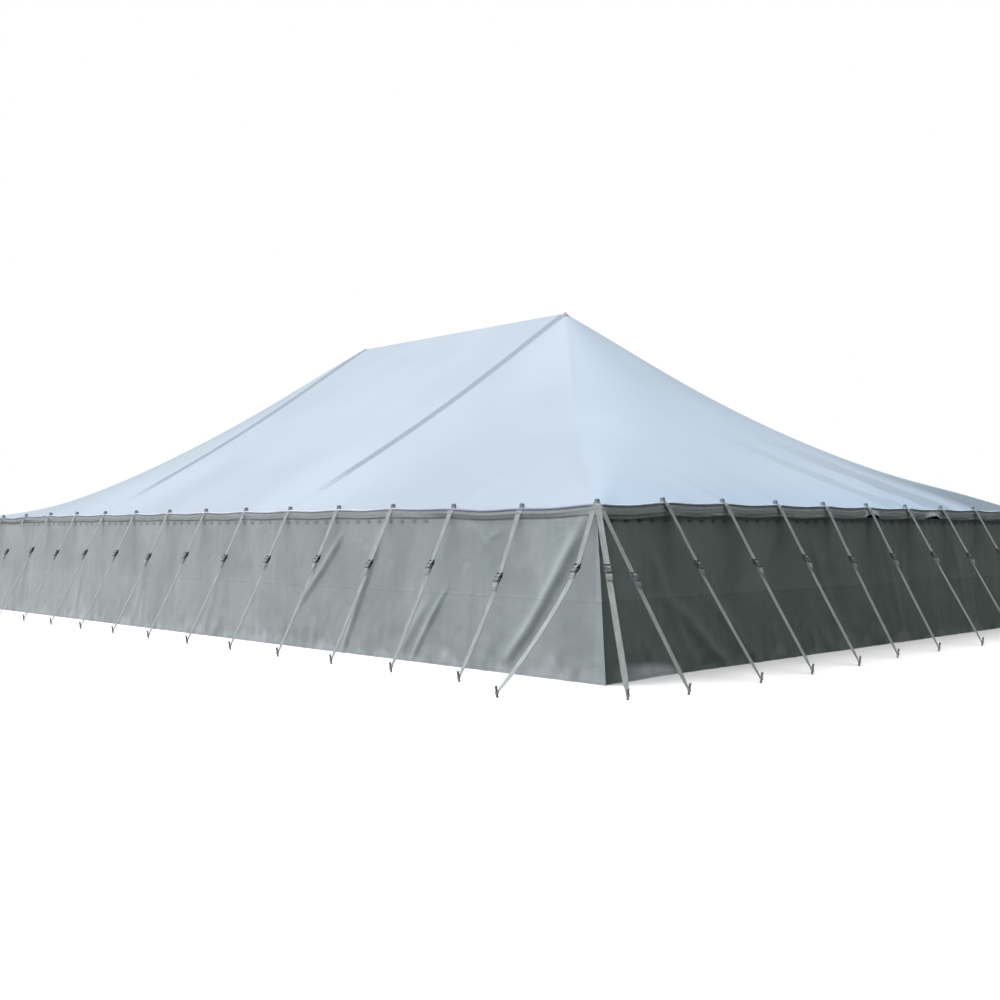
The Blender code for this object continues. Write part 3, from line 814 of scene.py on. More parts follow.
def valance_slant(side):
    """How much farther out a side's valance hangs at its lower edge."""
    return LONG_SLANT if SIDES[side][1] == HALF_LENGTH else END_SLANT


def valance_drop(side):
    """How deep the valance of a side is."""
    return VALANCE_DROP + (END_VALANCE_EXTRA if SIDES[side][1] == HALF_WIDTH else 0.0)


def valance_lift(side, along):
    """Share of the valance's drop that is blown up at a place."""
    lifts = [math.sin(math.pi * (along - low) / (high - low)) ** 0.6
             for low, high in VALANCE_LIFTS.get(side, ()) if low < along < high]
    return max(lifts, default=0.0)


def valance_out(side, along, hang):
    """How far the valance stands out, for a share from 0 at the eave to 1 at its lower edge."""
    seed = SIDES[side][0] / 10
    flutter = 0.5 * pole_noise(along * 2.1, seed) + 0.5 * pole_noise(along * 5.3, seed + 3)
    lift = smooth_step(pole_noise(along * 0.55, seed + 7), 0.15, 0.5)
    loose = hang ** 2 * (0.003 * flutter + 0.006 * lift * (0.6 + flutter))
    return VALANCE_OUT + valance_slant(side) * hang + loose


def valance_point(side, along, hang):
    """A point of the valance in the world."""
    half = SIDES[side][1]
    calm = smooth_step(half - abs(along), 0.0, 0.12)
    out = VALANCE_OUT + (valance_out(side, along, hang) - VALANCE_OUT) * calm
    wave = 0.002 * math.sin(math.tau * along / 0.31) * calm
    lift = valance_lift(side, along)
    out += 0.022 * lift * hang
    edge = eave_height(side, along)
    drop = valance_drop(side) + wave
    if half == HALF_LENGTH:
        drop += 0.8 * (edge - EAVE_HEIGHT)
    height = edge - VALANCE_TOP - hang * drop * (1 - 0.42 * lift)
    if abs(along) > half - 1e-6:
        along = math.copysign(half + VALANCE_OUT, along)
    return to_world(side, along, max(out, VALANCE_OUT - 0.003), height)


def build_valance(side, finish):
    """The hem of canvas that hangs below the eave, a little wavy at its lower edge."""
    half = SIDES[side][1]
    shape = grid(spread(-half, half, VALANCE_CELL), spread(1.0, 0.0, 0.2),
                 lambda along, hang: (valance_point(side, along, hang), (along, 1.70 - 0.1 * hang)))
    valance = add_sheet("valance_cloth_" + side, shape, finish, WALL_CLOTH, "wall_canvas",
                        "valance_" + side)


def fold_height(folds, along, height):
    """Sum of the tension folds that pass a place on a wall."""
    total = 0.0
    for top_along, top_height, foot_along, foot_height, half_width, rise, bow in folds:
        share = (top_height - height) / (top_height - foot_height)
        if not -0.15 < share < 1.15:
            continue
        centre = top_along + (foot_along - top_along) * share
        centre += 4 * bow * share * (1 - share)
        slant = math.hypot(foot_along - top_along, top_height - foot_height)
        apart = (along - centre) * (top_height - foot_height) / slant / half_width
        fade = smooth_step(share, -0.15, 0.25) * smooth_step(1.15 - share, 0.0, 0.3)
        total += rise * fade * math.exp(-apart * apart)
    return total


def hook_gap(along, half):
    """Distance along the wall to the nearest hook, as a share from 0 at a hook to 1 between."""
    return math.sin(math.pi * (along + half - HOOK_START) / HOOK_SPACING) ** 2


def curtain_height(side, along, share):
    """Height on a wall whose upper edge sags between its hooks."""
    half = SIDES[side][1]
    uneven = 0.8 + 0.4 * pole_noise(along * 3.7, SIDES[side][0] + 11.0)
    return WALL_TOP * share - HOOK_SAG * uneven * hook_gap(along, half) * share ** 12


def curtain_out(side, along, height):
    """How far a wall stands out from its line at a place."""
    turn, half, _, _ = SIDES[side]
    seed = turn / 10
    long_side = half == HALF_LENGTH
    inside = half - abs(along)
    low = 1 - height / WALL_TOP
    flare = FOOT_FLARE * low ** 2
    calm = smooth_step(inside, 0.0, CORNER_CALM)
    if not long_side:
        flare *= smooth_step(inside, 0.04 + 0.22 * low, 0.10 + 0.30 * low)
    billow = BILLOW + (CORNER_BILLOW if long_side and inside < BAY else 0.0)
    swell = billow * math.sin(math.pi * (half - along) / BAY) ** 2
    swell *= math.sin(math.pi * height / WALL_TOP)
    pleat = PLEAT * (1 - hook_gap(along, half)) * math.exp(-(WALL_TOP - height) / 0.22)
    pleat *= (0.6 + pole_noise(along * 4.1, seed + 5)) * smooth_step(WALL_TOP - height, 0.01, 0.07)
    broad = 0.012 * noise.noise(Vector((along * 0.9, height * 0.8, seed)))
    upright = 0.010 * noise.noise(Vector((along * 3.2, height * 0.7, seed + 9)))
    crumple = 0.020 * noise.noise(Vector((along * 6.0, height * 5.0, seed + 2))) * low ** 4
    folds = fold_height(LONG_FOLDS if long_side else END_FOLDS, along, height)
    loose = math.sin(math.pi * min(height / WALL_TOP + 0.12, 1.0))
    moving = swell + pleat + (broad + upright) * loose + crumple + folds
    return max(flare + moving * calm, -0.004)


def corner_kick(side, along, height):
    """How far the walls swing out to the east at the foot of the front corner."""
    kick = CORNER_KICK * (1 - height / WALL_TOP)
    if side == "front":
        return kick * smooth_step(along, HALF_LENGTH - 0.5, HALF_LENGTH)
    if side == "east":
        return kick * smooth_step(-along, HALF_WIDTH - 1.1, HALF_WIDTH)
    return 0.0


def curtain_point(side, along, share):
    """A point of a wall, for a share from 0 on the ground to 1 at its upper edge."""
    half = SIDES[side][1]
    height = curtain_height(side, along, share)
    out = curtain_out(side, along, height)
    ending = smooth_step(abs(along), half - 0.25, half)
    reach = FOOT_FLARE * (1 - height / WALL_TOP) ** 2
    if half == HALF_WIDTH:
        reach -= 0.006
    kick = corner_kick(side, along, height)
    shift = math.copysign(reach * ending, along)
    if side == "front":
        return to_world(side, along + shift + kick, out, height)
    return to_world(side, along + shift, out + kick, height)


def build_curtain(side, number, start, end, finish):
    """One wall curtain, hung from its hooks down to the ground."""
    shape = grid(spread(start, end, WALL_CELL), spread(0.0, 1.0, 1 / WALL_ROWS),
                 lambda along, share: (curtain_point(side, along, share),
                                       (along - start, share * WALL_TOP)))
    curtain = add_sheet(f"wall_cloth_{side}_{number}", shape, finish, WALL_CLOTH, "wall_canvas",
                        f"curtain_{side}_{number}")
    end - start


def build_curtains(finish):
    """Three curtains on each long wall and two on each end wall."""
    for side, (_, half, _, _) in SIDES.items():
        count = round(half / KING_X)
        width = 2 * half / count
        for number in range(count):
            start = number * width - half
            build_curtain(side, number + 1, start, start + width, finish)


def lathe(profile, segments):
    """The shape of a profile of radius and height, top to bottom, turned about Z."""
    points = []
    faces = []
    rings = []
    for radius, height in profile:
        count = segments if radius else 1
        rings.append(range(len(points), len(points) + count))
        for step in range(count):
            angle = math.tau * step / segments
            points.append((radius * math.cos(angle), radius * math.sin(angle), height))
    for upper, lower in zip(rings, rings[1:]):
        for step in range(segments):
            after = (step + 1) % segments
            corners = (upper[step % len(upper)], lower[step % len(lower)],
                       lower[after % len(lower)], upper[after % len(upper)])
            faces.append(list(dict.fromkeys(corners)))
    return points, faces, []


def ribbon(path, across, widths, thickness):
    """The shape of a flat strap along a path, closed at its ends."""
    points = []
    uvs = []
    length = 0.0
    for number, place in enumerate(path):
        before = path[max(number - 1, 0)]
        after = path[min(number + 1, len(path) - 1)]
        length += (place - before).length
        normal = (after - before).cross(across).normalized() * thickness / 2
        side = widths[number] / 2
        half = across * side
        points += [place - half - normal, place + half - normal,
                   place + half + normal, place - half + normal]
        uvs += [(length, -side), (length, side), (length, side), (length, -side)]
    faces = [(ring + corner, ring + (corner + 1) % 4, ring + 4 + (corner + 1) % 4,
              ring + 4 + corner)
             for ring in range(0, len(points) - 4, 4) for corner in range(4)]
    last = len(points) - 4
    faces += [(3, 2, 1, 0), (last, last + 1, last + 2, last + 3)]
    return points, faces, uvs


def joined(shapes):
    """One shape from several."""
    points = []
    faces = []
    uvs = []
    for more_points, more_faces, more_uvs in shapes:
        start = len(points)
        points += more_points
        faces += [tuple(start + index for index in face) for face in more_faces]
        uvs += more_uvs
    return points, faces, uvs


def bend(first, corner, last):
    """Points along a soft bend between two straight runs."""
    return [first.lerp(corner, step).lerp(corner.lerp(last, step), step)
            for step in spread(0.0, 1.0, 0.2)]


class Guy:
    """One guy: where it crosses the eave, its stake, and the frame of its ratchet."""

    def __init__(self, edge, outward, reach, slack=0.0, over_eave=0.010, past_eave=0.006,
                 place=RATCHET_PLACE):
        self.edge = edge
        self.outward = outward
        self.over = edge + outward * past_eave + Vector((0, 0, over_eave))
        self.foot = edge + outward * reach
        self.foot.z = STRAP_FOOT
        self.across = Vector((-outward.y, outward.x, 0))
        straight = (self.foot - self.over).normalized()
        sag = (straight.cross(self.across)).normalized() * slack
        if sag.dot(outward) > 0:
            sag = -sag
        self.middle = self.over.lerp(self.foot, place) + sag
        lean = (self.middle - self.over).normalized() + (self.foot - self.middle).normalized()
        self.down = lean.normalized()
        self.face = self.down.cross(self.across).normalized()
        if self.face.dot(outward) < 0:
            self.face = -self.face
        self.belly = slack * 0.3

    def local(self, down, face, across=0.0):
        """A point beside the ratchet: down the strap, off its face, and across it."""
        return self.middle + self.down * down + self.face * face + self.across * across

    def turn(self):
        """Rotation of a fitting whose Y runs down the strap and whose Z is off its face."""
        right = self.down.cross(self.face)
        return Matrix((right, self.down, self.face)).transposed().to_euler()

    def stake_turn(self):
        """Rotation that leans the stake away from the tent."""
        lean = Vector((0, 0, 1)) * STAKE_HEIGHT + self.outward * STAKE_LEAN
        return lean.to_track_quat("Z", "Y").to_euler()


def side_guys(side, dice):
    """The guys of a side, one at each pole between its corners."""
    turn, half, _, reach = SIDES[side]
    outward = outward_of(side)
    onward = Matrix.Rotation(math.radians(turn), 3, "Z") @ Vector((1, 0, 0))
    on_end = half == HALF_WIDTH
    guys = []
    for number, along in enumerate(stations(side)):
        beside_corner = half - abs(along) < 1.5 * BAY
        slack = dice.uniform(0.0, 0.02) + (NEXT_TO_CORNER_SLACK if beside_corner else 0.0)
        way = outward * reach
        place = RATCHET_PLACE + 0.012 * math.sin(2.4 * number)
        if beside_corner and not on_end:
            place = LOW_RATCHET_PLACE
        if on_end:
            slack *= 0.3
            way = outward * END_GUYS[number][0] + onward * END_GUYS[number][1]
        guys.append(Guy(pole_top(side, along), way.normalized(), way.length, slack,
                        past_eave=0.028 if on_end else 0.006, place=place))
    return guys


def corner_guys(sign_x, sign_y):
    """The three guys of a corner: off each side and along the diagonal."""
    corner = Vector((sign_x * HALF_LENGTH, sign_y * HALF_WIDTH, EAVE_HEIGHT))
    inset = STRAP_WIDTH / 2
    off_front = Guy(corner - Vector((sign_x * inset, 0, 0)), Vector((0, sign_y, 0)),
                    CORNER_REACH_FRONT, CORNER_SLACK, place=HIGH_RATCHET_PLACE)
    off_end = Guy(corner - Vector((0, sign_y * inset, 0)), Vector((sign_x, 0, 0)),
                  CORNER_REACH_END, place=LOW_RATCHET_PLACE)
    way = Vector((sign_x * CORNER_DIAGONAL[0], sign_y * CORNER_DIAGONAL[1], 0))
    diagonal = Guy(corner, way.normalized(), way.length, over_eave=0.016)
    return [off_front, off_end, diagonal]


def upper_strap(guy):
    """From the pole's pin over the eave to the ratchet's bar."""
    start = guy.edge - guy.outward * 0.045 + Vector((0, 0, 0.036))
    bar = guy.local(*STRAP_BAR)
    path = [start] + bend(start.lerp(guy.over, 0.6), guy.over, guy.over.lerp(bar, 0.05))
    path += [guy.over.lerp(bar, share) for share in (0.14, 0.24, 0.6)] + [bar]
    widths = [EYE_WIDTH] * 8 + [STRAP_WIDTH] * 3
    return ribbon(path, guy.across, widths, STRAP_THICKNESS)


def sewn_lap(guy):
    """The strap's end sewn back on itself above the ratchet."""
    path = [guy.local(-0.046, 0.004), guy.local(-0.07, 0.0032), guy.local(-0.16, 0.0030)]
    return ribbon(path, guy.across, [STRAP_WIDTH * 0.98] * 3, STRAP_THICKNESS)


def lower_strap(guy):
    """From the ratchet's spool to the stake, drawn narrow where it loops around it."""
    start = guy.local(0.0, -0.012)
    stops = (0.06, 0.2, 0.35, 0.5, 0.7, 0.86, 0.93, 0.97, 1.0)
    widths = [STRAP_WIDTH] * 7 + [STRAP_WIDTH * 0.8, STRAP_WIDTH * 0.55, STRAP_WIDTH * 0.45]
    path = [start] + [start.lerp(guy.foot, share) - guy.face * (4 * guy.belly * share * (1 - share))
                      for share in stops]
    return ribbon(path, guy.across, widths, STRAP_THICKNESS * 1.4)


def stake_loop(guy):
    """The eye of the strap around the stake."""
    centre = guy.foot + guy.outward * 0.006
    radius = 0.0185
    path = [centre + guy.across * radius * math.sin(turn) - guy.outward * radius * math.cos(turn)
            + Vector((0, 0, 0.010 * math.cos(turn)))
            for turn in (math.tau * step / 12 for step in range(13))]
    return ribbon(path, Vector((0, 0, 1)), [0.022] * 13, 0.005)


def tail(guy, length):
    """The strap's free end, folded flat on the strap below the ratchet."""
    low = 0.075 + length
    folds = ((0.010, 0.010), (0.05, 0.008), (low - 0.01, 0.006), (low, 0.010), (low - 0.01, 0.014),
             (0.085, 0.013), (0.075, 0.017), (0.085, 0.021), (low - 0.03, 0.018))
    path = [guy.local(down, face) for down, face in folds]
    return ribbon(path, guy.across, [STRAP_WIDTH] * len(path), STRAP_THICKNESS)


def spool_roll(guy):
    """The turns of strap wound on the ratchet's spool."""
    half = STRAP_WIDTH / 2
    points, faces, _ = lathe(((0, half), (0.016, half), (0.0185, half - 0.0015),
                              (0.0185, 0.0015 - half), (0.016, -half), (0, -half)), 14)
    turn = Matrix((guy.face, guy.down, guy.across)).transposed()
    middle = guy.local(*SPOOL)
    uvs = [(math.atan2(y, x) * 0.018, along) for x, y, along in points]
    return [middle + turn @ Vector(point) for point in points], faces, uvs


def build_straps(name, guys, node, finish, seed):
    """The webbing of one row of guys."""
    dice = random.Random(seed)
    shapes = []
    for guy in guys:
        shapes += [upper_strap(guy), sewn_lap(guy), lower_strap(guy), stake_loop(guy),
                   spool_roll(guy), tail(guy, dice.uniform(0.05, 0.11))]
    settle_closed(add_piece("straps_" + name, joined(shapes), finish), 40, "webbing", node)


def build_eave_webbing(side, finish):
    """The webbing sewn along the valance, which spreads the guys' pull."""
    half = SIDES[side][1] + WEB_OUT
    slope = valance_slant(side) / valance_drop(side)
    out = WEB_OUT + slope * WEB_BELOW_EAVE
    path = [to_world(side, along, out, eave_height(side, along) - WEB_BELOW_EAVE)
            for along in spread(-half, half, EDGE_STEP)]
    upright = (Vector((0, 0, 1)) - outward_of(side) * slope).normalized()
    shape = ribbon(path, upright, [WEB_WIDTH] * len(path), 0.0025)
    settle_closed(add_piece("eave_webbing_" + side, shape, finish), 40, "webbing")


class Tree:
    """A Geometry Nodes tree that makes a piece from a base, while its nodes are laid out."""

    def __init__(self, name, **inputs):
        self.tree = bpy.data.node_groups.new(name, "GeometryNodeTree")
        sockets = self.tree.interface
        for label, kind in {"Base": "Geometry", **inputs, "Finish": "Material"}.items():
            sockets.new_socket(label, in_out="INPUT", socket_type="NodeSocket" + kind)
        sockets.new_socket("Result", in_out="OUTPUT", socket_type="NodeSocketGeometry")
        self.given = add_node(self.tree, "NodeGroupInput").outputs

    def add(self, kind, values=None, output=0, **settings):
        """Add a node and give one of its outputs."""
        return add_node(self.tree, kind, values, **settings).outputs[output]

    def done(self, geometry):
        """End the tree in real geometry with its finish."""
        real = self.add("GeometryNodeRealizeInstances", {0: geometry})
        painted = self.add("GeometryNodeSetMaterial",
                           {"Geometry": real, "Material": self.given["Finish"]})
        add_node(self.tree, "NodeGroupOutput", {0: painted})
        return self.tree


def scatter_tree():
    """Copies of a pattern at the base's points, turned as their attribute says."""
    tree = Tree("repeat_fitting", Pattern="Object")
    pattern = tree.add("GeometryNodeObjectInfo", {"Object": tree.given["Pattern"]}, "Geometry")
    turn = tree.add("GeometryNodeInputNamedAttribute", {"Name": "turn"},
                    data_type="FLOAT_VECTOR")
    rotation = tree.add("FunctionNodeEulerToRotation", {0: turn})
    return tree.done(tree.add(
        "GeometryNodeInstanceOnPoints",
        {"Points": tree.given["Base"], "Instance": pattern, "Rotation": rotation}))


def tube_tree():
    """A round cord along the base's edges."""
    tree = Tree("cord_on_path", Radius="Float")
    line = tree.add("GeometryNodeMeshToCurve", {0: tree.given["Base"]})
    ring = tree.add("GeometryNodeCurvePrimitiveCircle",
                    {"Resolution": 8, "Radius": tree.given["Radius"]})
    return tree.done(tree.add("GeometryNodeCurveToMesh",
                              {"Curve": line, "Profile Curve": ring, "Fill Caps": True}))


def loop_tree():
    """Oval wire loops standing across a path at even steps."""
    tree = Tree("loops_on_path", Spacing="Float", Length="Float", Width="Float",
                Wire="Float", Lean="Float")
    line = tree.add("GeometryNodeMeshToCurve", {0: tree.given["Base"]})
    places = tree.add("GeometryNodeResampleCurve",
                      {"Curve": line, "Length": tree.given["Spacing"]}, mode="LENGTH")
    ring = tree.add("GeometryNodeCurvePrimitiveCircle", {"Resolution": 8, "Radius": 0.5})
    size = tree.add("ShaderNodeCombineXYZ",
                    {"X": tree.given["Length"], "Y": tree.given["Width"], "Z": 1.0})
    oval = tree.add("GeometryNodeTransform", {"Geometry": ring, "Scale": size})
    wire = tree.add("GeometryNodeCurvePrimitiveCircle",
                    {"Resolution": 4, "Radius": tree.given["Wire"]})
    link = tree.add("GeometryNodeCurveToMesh", {"Curve": oval, "Profile Curve": wire})
    facing = tree.add("FunctionNodeAlignRotationToVector",
                      {"Vector": tree.add("GeometryNodeInputTangent")},
                      axis="X", pivot_axis="Z")
    lean = tree.add("ShaderNodeCombineXYZ", {"X": tree.given["Lean"]})
    tilt = tree.add("FunctionNodeRotateRotation", {"Rotation": facing, "Rotate By": lean},
                    rotation_space="LOCAL")
    return tree.done(tree.add("GeometryNodeInstanceOnPoints",
                              {"Points": places, "Instance": link, "Rotation": tilt}))


def grow(name, base, tree, **values):
    """Run a tree on a base object and keep what it makes as a plain, smooth mesh piece."""
    modifier = base.modifiers.new("grow", "NODES")
    modifier.node_group = tree
    for item in tree.interface.items_tree:
        if item.name in values:
            modifier[item.identifier] = values[item.name]
    depsgraph = bpy.context.evaluated_depsgraph_get()
    mesh = bpy.data.meshes.new_from_object(base.evaluated_get(depsgraph))
    mesh.name = name
    mesh.shade_smooth()
    bpy.data.objects.remove(base)
    return add_object(name, mesh)


def add_base(points, edges=(), turns=()):
    """Points and edges for a tree to work on, with a turn for each point if given."""
    mesh = bpy.data.meshes.new("base")
    mesh.from_pydata([tuple(point) for point in points], edges, [])
    if turns:
        attribute = mesh.attributes.new("turn", "FLOAT_VECTOR", "POINT")
        for number, turn in enumerate(turns):
            attribute.data[number].vector = turn
    return add_object("base", mesh)


def add_path(points, closed=False):
    """A base of points joined one after another."""
    edges = [(number, number + 1) for number in range(len(points) - 1)]
    if closed:
        edges.append((len(points) - 1, 0))
    return add_base(points, edges)


def scatter(name, shapes, places, finish, slot, nodes=()):
    """One piece made of a pattern of shapes, repeated at places with their turns."""
    pattern = add_piece("pattern", joined(shapes))
    change_mesh(pattern, face_outwards)
    base = add_base([place for place, _ in places], turns=[turn for _, turn in places])
    piece = grow(name, base, TREES["scatter"], Pattern=pattern, Finish=finish)
    bpy.data.objects.remove(pattern)
    settle_closed(piece, 35, slot, *nodes)


def moved(shape, place):
    """A shape moved and turned by a matrix."""
    points, faces, uvs = shape
    return [place @ Vector(point) for point in points], faces, uvs


def rod(radius, length, segments, middle, turn=ACROSS):
    """A rod with eased ends, which lies across a strap unless it is turned another way."""
    ease = min(radius * 0.3, 0.002)
    half = length / 2
    profile = ((0, half), (radius - ease, half), (radius, half - ease), (radius, ease - half),
               (radius - ease, -half), (0, -half))
    return moved(lathe(profile, segments), Matrix.Translation(middle) @ turn)


def plate(outline, x, thickness):
    """A flat plate of an outline in Y and Z, standing at a place along X."""
    count = len(outline)
    points = [(x + offset, y, z) for offset in (-thickness / 2, thickness / 2)
              for y, z in outline]
    faces = [tuple(range(count)), tuple(reversed(range(count, 2 * count)))]
    for number in range(count):
        after = (number + 1) % count
        faces.append((number, count + number, count + after, after))
    return points, faces, []


def side_plate_outline():
    """Outline of a ratchet's side plate: straight, round at the spool and at its ends."""
    outline = [(-0.052, -0.008), (-0.046, -0.013), (-0.020, -0.014)]
    for step in range(7):
        angle = math.pi * (1.15 + 0.7 * step / 6)
        outline.append((0.022 * math.cos(angle), 0.022 * math.sin(angle)))
    outline += [(0.022, -0.012), (0.050, -0.010), (0.056, -0.004), (0.056, 0.006),
                (0.050, 0.011), (-0.046, 0.011), (-0.052, 0.006)]
    return outline


def ratchet_frame():
    """A ratchet's two side plates, its spool ends, and its bars for the two straps."""
    at = STRAP_WIDTH / 2 + FRAME_INSET
    shapes = []
    for side in (-1, 1):
        shapes.append(plate(side_plate_outline(), side * at, 0.0025))
        for radius, length, segments, inset, place in (
                (0.0215, 0.003, 16, -0.0029, SPOOL), (0.008, 0.005, 8, 0.002, STRAP_BAR),
                (0.010, 0.006, 10, 0.0023, SPOOL)):
            shapes.append(rod(radius, length, segments, (side * (at + inset), *place)))
    shapes.append(rod(0.005, 2 * at + 0.002, 10, (0, *STRAP_BAR)))
    shapes.append(rod(0.004, 2 * at + 0.002, 10, (0, 0.046, 0.002)))
    return shapes


def ratchet_handle():
    """The folded lever: two arms and a thick grip across them."""
    arm = [(-0.014, 0.004), (0.0, 0.016), (0.030, 0.021), (0.066, 0.021), (0.070, 0.027),
           (0.030, 0.031), (-0.004, 0.026), (-0.018, 0.012)]
    cover = [(0.018, 0.024), (0.060, 0.027), (0.060, 0.030), (0.018, 0.028)]
    half = STRAP_WIDTH / 2 - 0.002
    return [plate(arm, -half, 0.003), plate(arm, half, 0.003),
            rod(0.0085, 2 * half + 0.010, 12, (0, 0.064, 0.025)),
            plate(cover, 0.0, 2 * half - 0.003)]


def steel_ring():
    """The rectangular ring that holds a strap against the eave webbing."""
    along = Matrix.Rotation(math.pi / 2, 4, "X")
    return ([rod(0.0035, 0.096, 8, (0, y, 0)) for y in (-0.011, 0.011)]
            + [rod(0.0035, 0.026, 8, (x, 0, 0), along) for x in (-0.046, 0.046)])


def stake_pattern():
    """A driven steel stake with its burred head."""
    top = STAKE_HEIGHT
    return [lathe(((0, top), (0.009, top), (0.0155, top - 0.004), (0.0165, top - 0.012),
                   (0.0125, top - 0.018), (0.0125, 0.0), (0, 0.0)), 14)]


def knob_pattern():
    """The moulded cap on a pole's pin, with finger grooves."""
    top = KNOB_HEIGHT
    return [lathe(((0, top), (0.018, top), (0.025, top - 0.003), (0.030, top - 0.011),
                   (0.028, top - 0.022), (0.030, top - 0.034), (0.036, top - 0.045),
                   (0.041, top - 0.055), (0.042, top - 0.063), (0.039, top - 0.068),
                   (0.039, 0.0), (0, 0.0)), 16)]


def pole_pattern():
    """A side pole: steel tube, swaged shoulder, pin up to the knob, and a pressed foot."""
    top = EAVE_HEIGHT
    return [lathe(((0, top + 0.052), (0.005, top + 0.052), (0.006, top + 0.045),
                   (0.006, top - 0.018), (0.012, top - 0.022), (0.0235, top - 0.035),
                   (POLE_RADIUS, top - 0.05), (POLE_RADIUS, 0.055), (0.0255, 0.053),
                   (0.0255, 0.004), (0.022, 0.0), (0, 0.0)), 20)]


def pole_places():
    """Places of all the poles around the eave, the four corners first."""
    corners = [Vector((sign_x * (HALF_LENGTH - POLE_INSET), sign_y * (HALF_WIDTH - POLE_INSET), 0))
               for sign_x, sign_y in CORNERS.values()]
    return corners + [to_world(side, along, -POLE_INSET, 0)
                      for side in SIDES for along in stations(side)]


def build_poles(finishes):
    """The poles around the eave and the caps on their pins."""
    upright = Vector((0, 0, 0))
    nodes = ["side_poles_" + side for side in SIDES] + ["corner_pole_" + name for name in CORNERS]
    scatter("pole_tubes", pole_pattern(), [(place, upright) for place in pole_places()],
            finishes["steel"], "steel", nodes)
    seats = [place + Vector((0, 0, EAVE_HEIGHT + 0.002 + edge_lift(place.x, place.y)))
             for place in pole_places()]
    scatter("pole_knobs", knob_pattern(), [(seat, upright) for seat in seats],
            finishes["knob"], "dark_cap")


def build_guys(finishes):
    """Every row of guys: straps for each row, and the fittings of all rows."""
    dice = random.Random(4)
    rows = {side: (side_guys(side, dice), "guys_" + side) for side in SIDES}
    for name, (sign_x, sign_y) in CORNERS.items():
        rows["corner_" + name] = (corner_guys(sign_x, sign_y), "corner_guys_" + name)
    every = []
    for seed, (name, (guys, node)) in enumerate(rows.items()):
        build_straps(name, guys, node, finishes["strap"], seed)
        every += guys
    ratchets = [(guy.middle, guy.turn()) for guy in every]
    scatter("ratchet_frames", ratchet_frame(), ratchets, finishes["dark_steel"], "steel")
    scatter("ratchet_handles", ratchet_handle(), ratchets, finishes["cap"], "dark_cap")
    rings = [(guy.over + guy.down * 0.052 + guy.face * 0.001, guy.turn()) for guy in every]
    scatter("eave_rings", steel_ring(), rings, finishes["steel"], "steel")
    stakes = [(Vector((guy.foot.x, guy.foot.y, STAKE_RIM)), guy.stake_turn()) for guy in every]
    scatter("stakes", stake_pattern(), stakes, finishes["steel"], "steel")
    for side in SIDES:
        build_eave_webbing(side, finishes["eave_webbing"])


def build_eave_bead(finish):
    """The rope sewn into the roof's edge."""
    path = []
    for side, (_, half, _, _) in SIDES.items():
        path += [to_world(side, along, 0.002, eave_height(side, along) + 0.001)
                 for along in spread(-half, half, EDGE_STEP)[:-1]]
    bead = grow("eave_bead", add_path(path, closed=True), TREES["tube"],
                Radius=BEAD_RADIUS, Finish=finish)
    settle(bead, "roof_canvas")


def straight_path(side, reach, inset, height):
    """A level line inside a wall, as far as a reach on both sides of its middle."""
    return add_path([to_world(side, along, -inset, height) for along in (-reach, reach)])


def build_wall_ropes(finishes):
    """The rope inside each wall and the hooks that hang the wall from it."""
    for side, (_, half, _, _) in SIDES.items():
        reach = half - POLE_INSET - POLE_RADIUS - 0.001
        rope = grow("wall_rope_" + side, straight_path(side, reach, ROPE_INSET, ROPE_HEIGHT),
                    TREES["tube"], Radius=ROPE_RADIUS, Finish=finishes["rope"])
        settle(rope, "webbing")
        path = straight_path(side, half - HOOK_START, 0.006, ROPE_HEIGHT - 0.014)
        hooks = grow("wall_hooks_" + side, path, TREES["loops"], Spacing=HOOK_SPACING,
                     Length=0.022, Width=0.058, Wire=0.0028, Lean=math.pi / 2,
                     Finish=finishes["hook"])
        settle(hooks, "steel")


def build_lacing(finishes):
    """The flaps over the two seams, and the chain of loops beside each of them."""
    laced = STRIP_END - 0.5
    for end, x in KING_POLES:
        build_lacing_strip(end, x, finishes["strip"])
        path = add_path([(x, y, roof_height(x, y) + 0.008)
                         for y in spread(-laced, laced, LOOP_SPACING)])
        loops = grow("lacing_loops_" + end, path, TREES["loops"], Spacing=LOOP_SPACING,
                     Length=LOOP_LENGTH, Width=LOOP_WIDTH, Wire=LACE_RADIUS, Lean=0.25,
                     Finish=finishes["lace"])
        settle(loops, "lacing_strip")


def build_king_poles(finish):
    """Both king poles, smooth tubes with the sleeve that joins their halves."""
    top = PEAK_HEIGHT
    foot = 0.0123
    tube = lathe(((0, top + 0.008), (0.010, top + 0.008), (0.012, top + 0.005),
                  (0.012, top - 0.04), (0.024, top - 0.05), (0.050, top - 0.10),
                  (KING_RADIUS, top - 0.106), (KING_RADIUS, 2.86), (0.060, 2.855),
                  (0.060, 2.745), (KING_RADIUS, 2.74), (KING_RADIUS, foot + 0.004),
                  (KING_RADIUS - 0.004, foot), (0, foot)), 40)
    for end, x in KING_POLES:
        pole = add_piece("king_tube_" + end, moved(tube, Matrix.Translation((x, 0, 0))), finish)
        settle_closed(pole, 35, "steel", "king_pole_" + end)


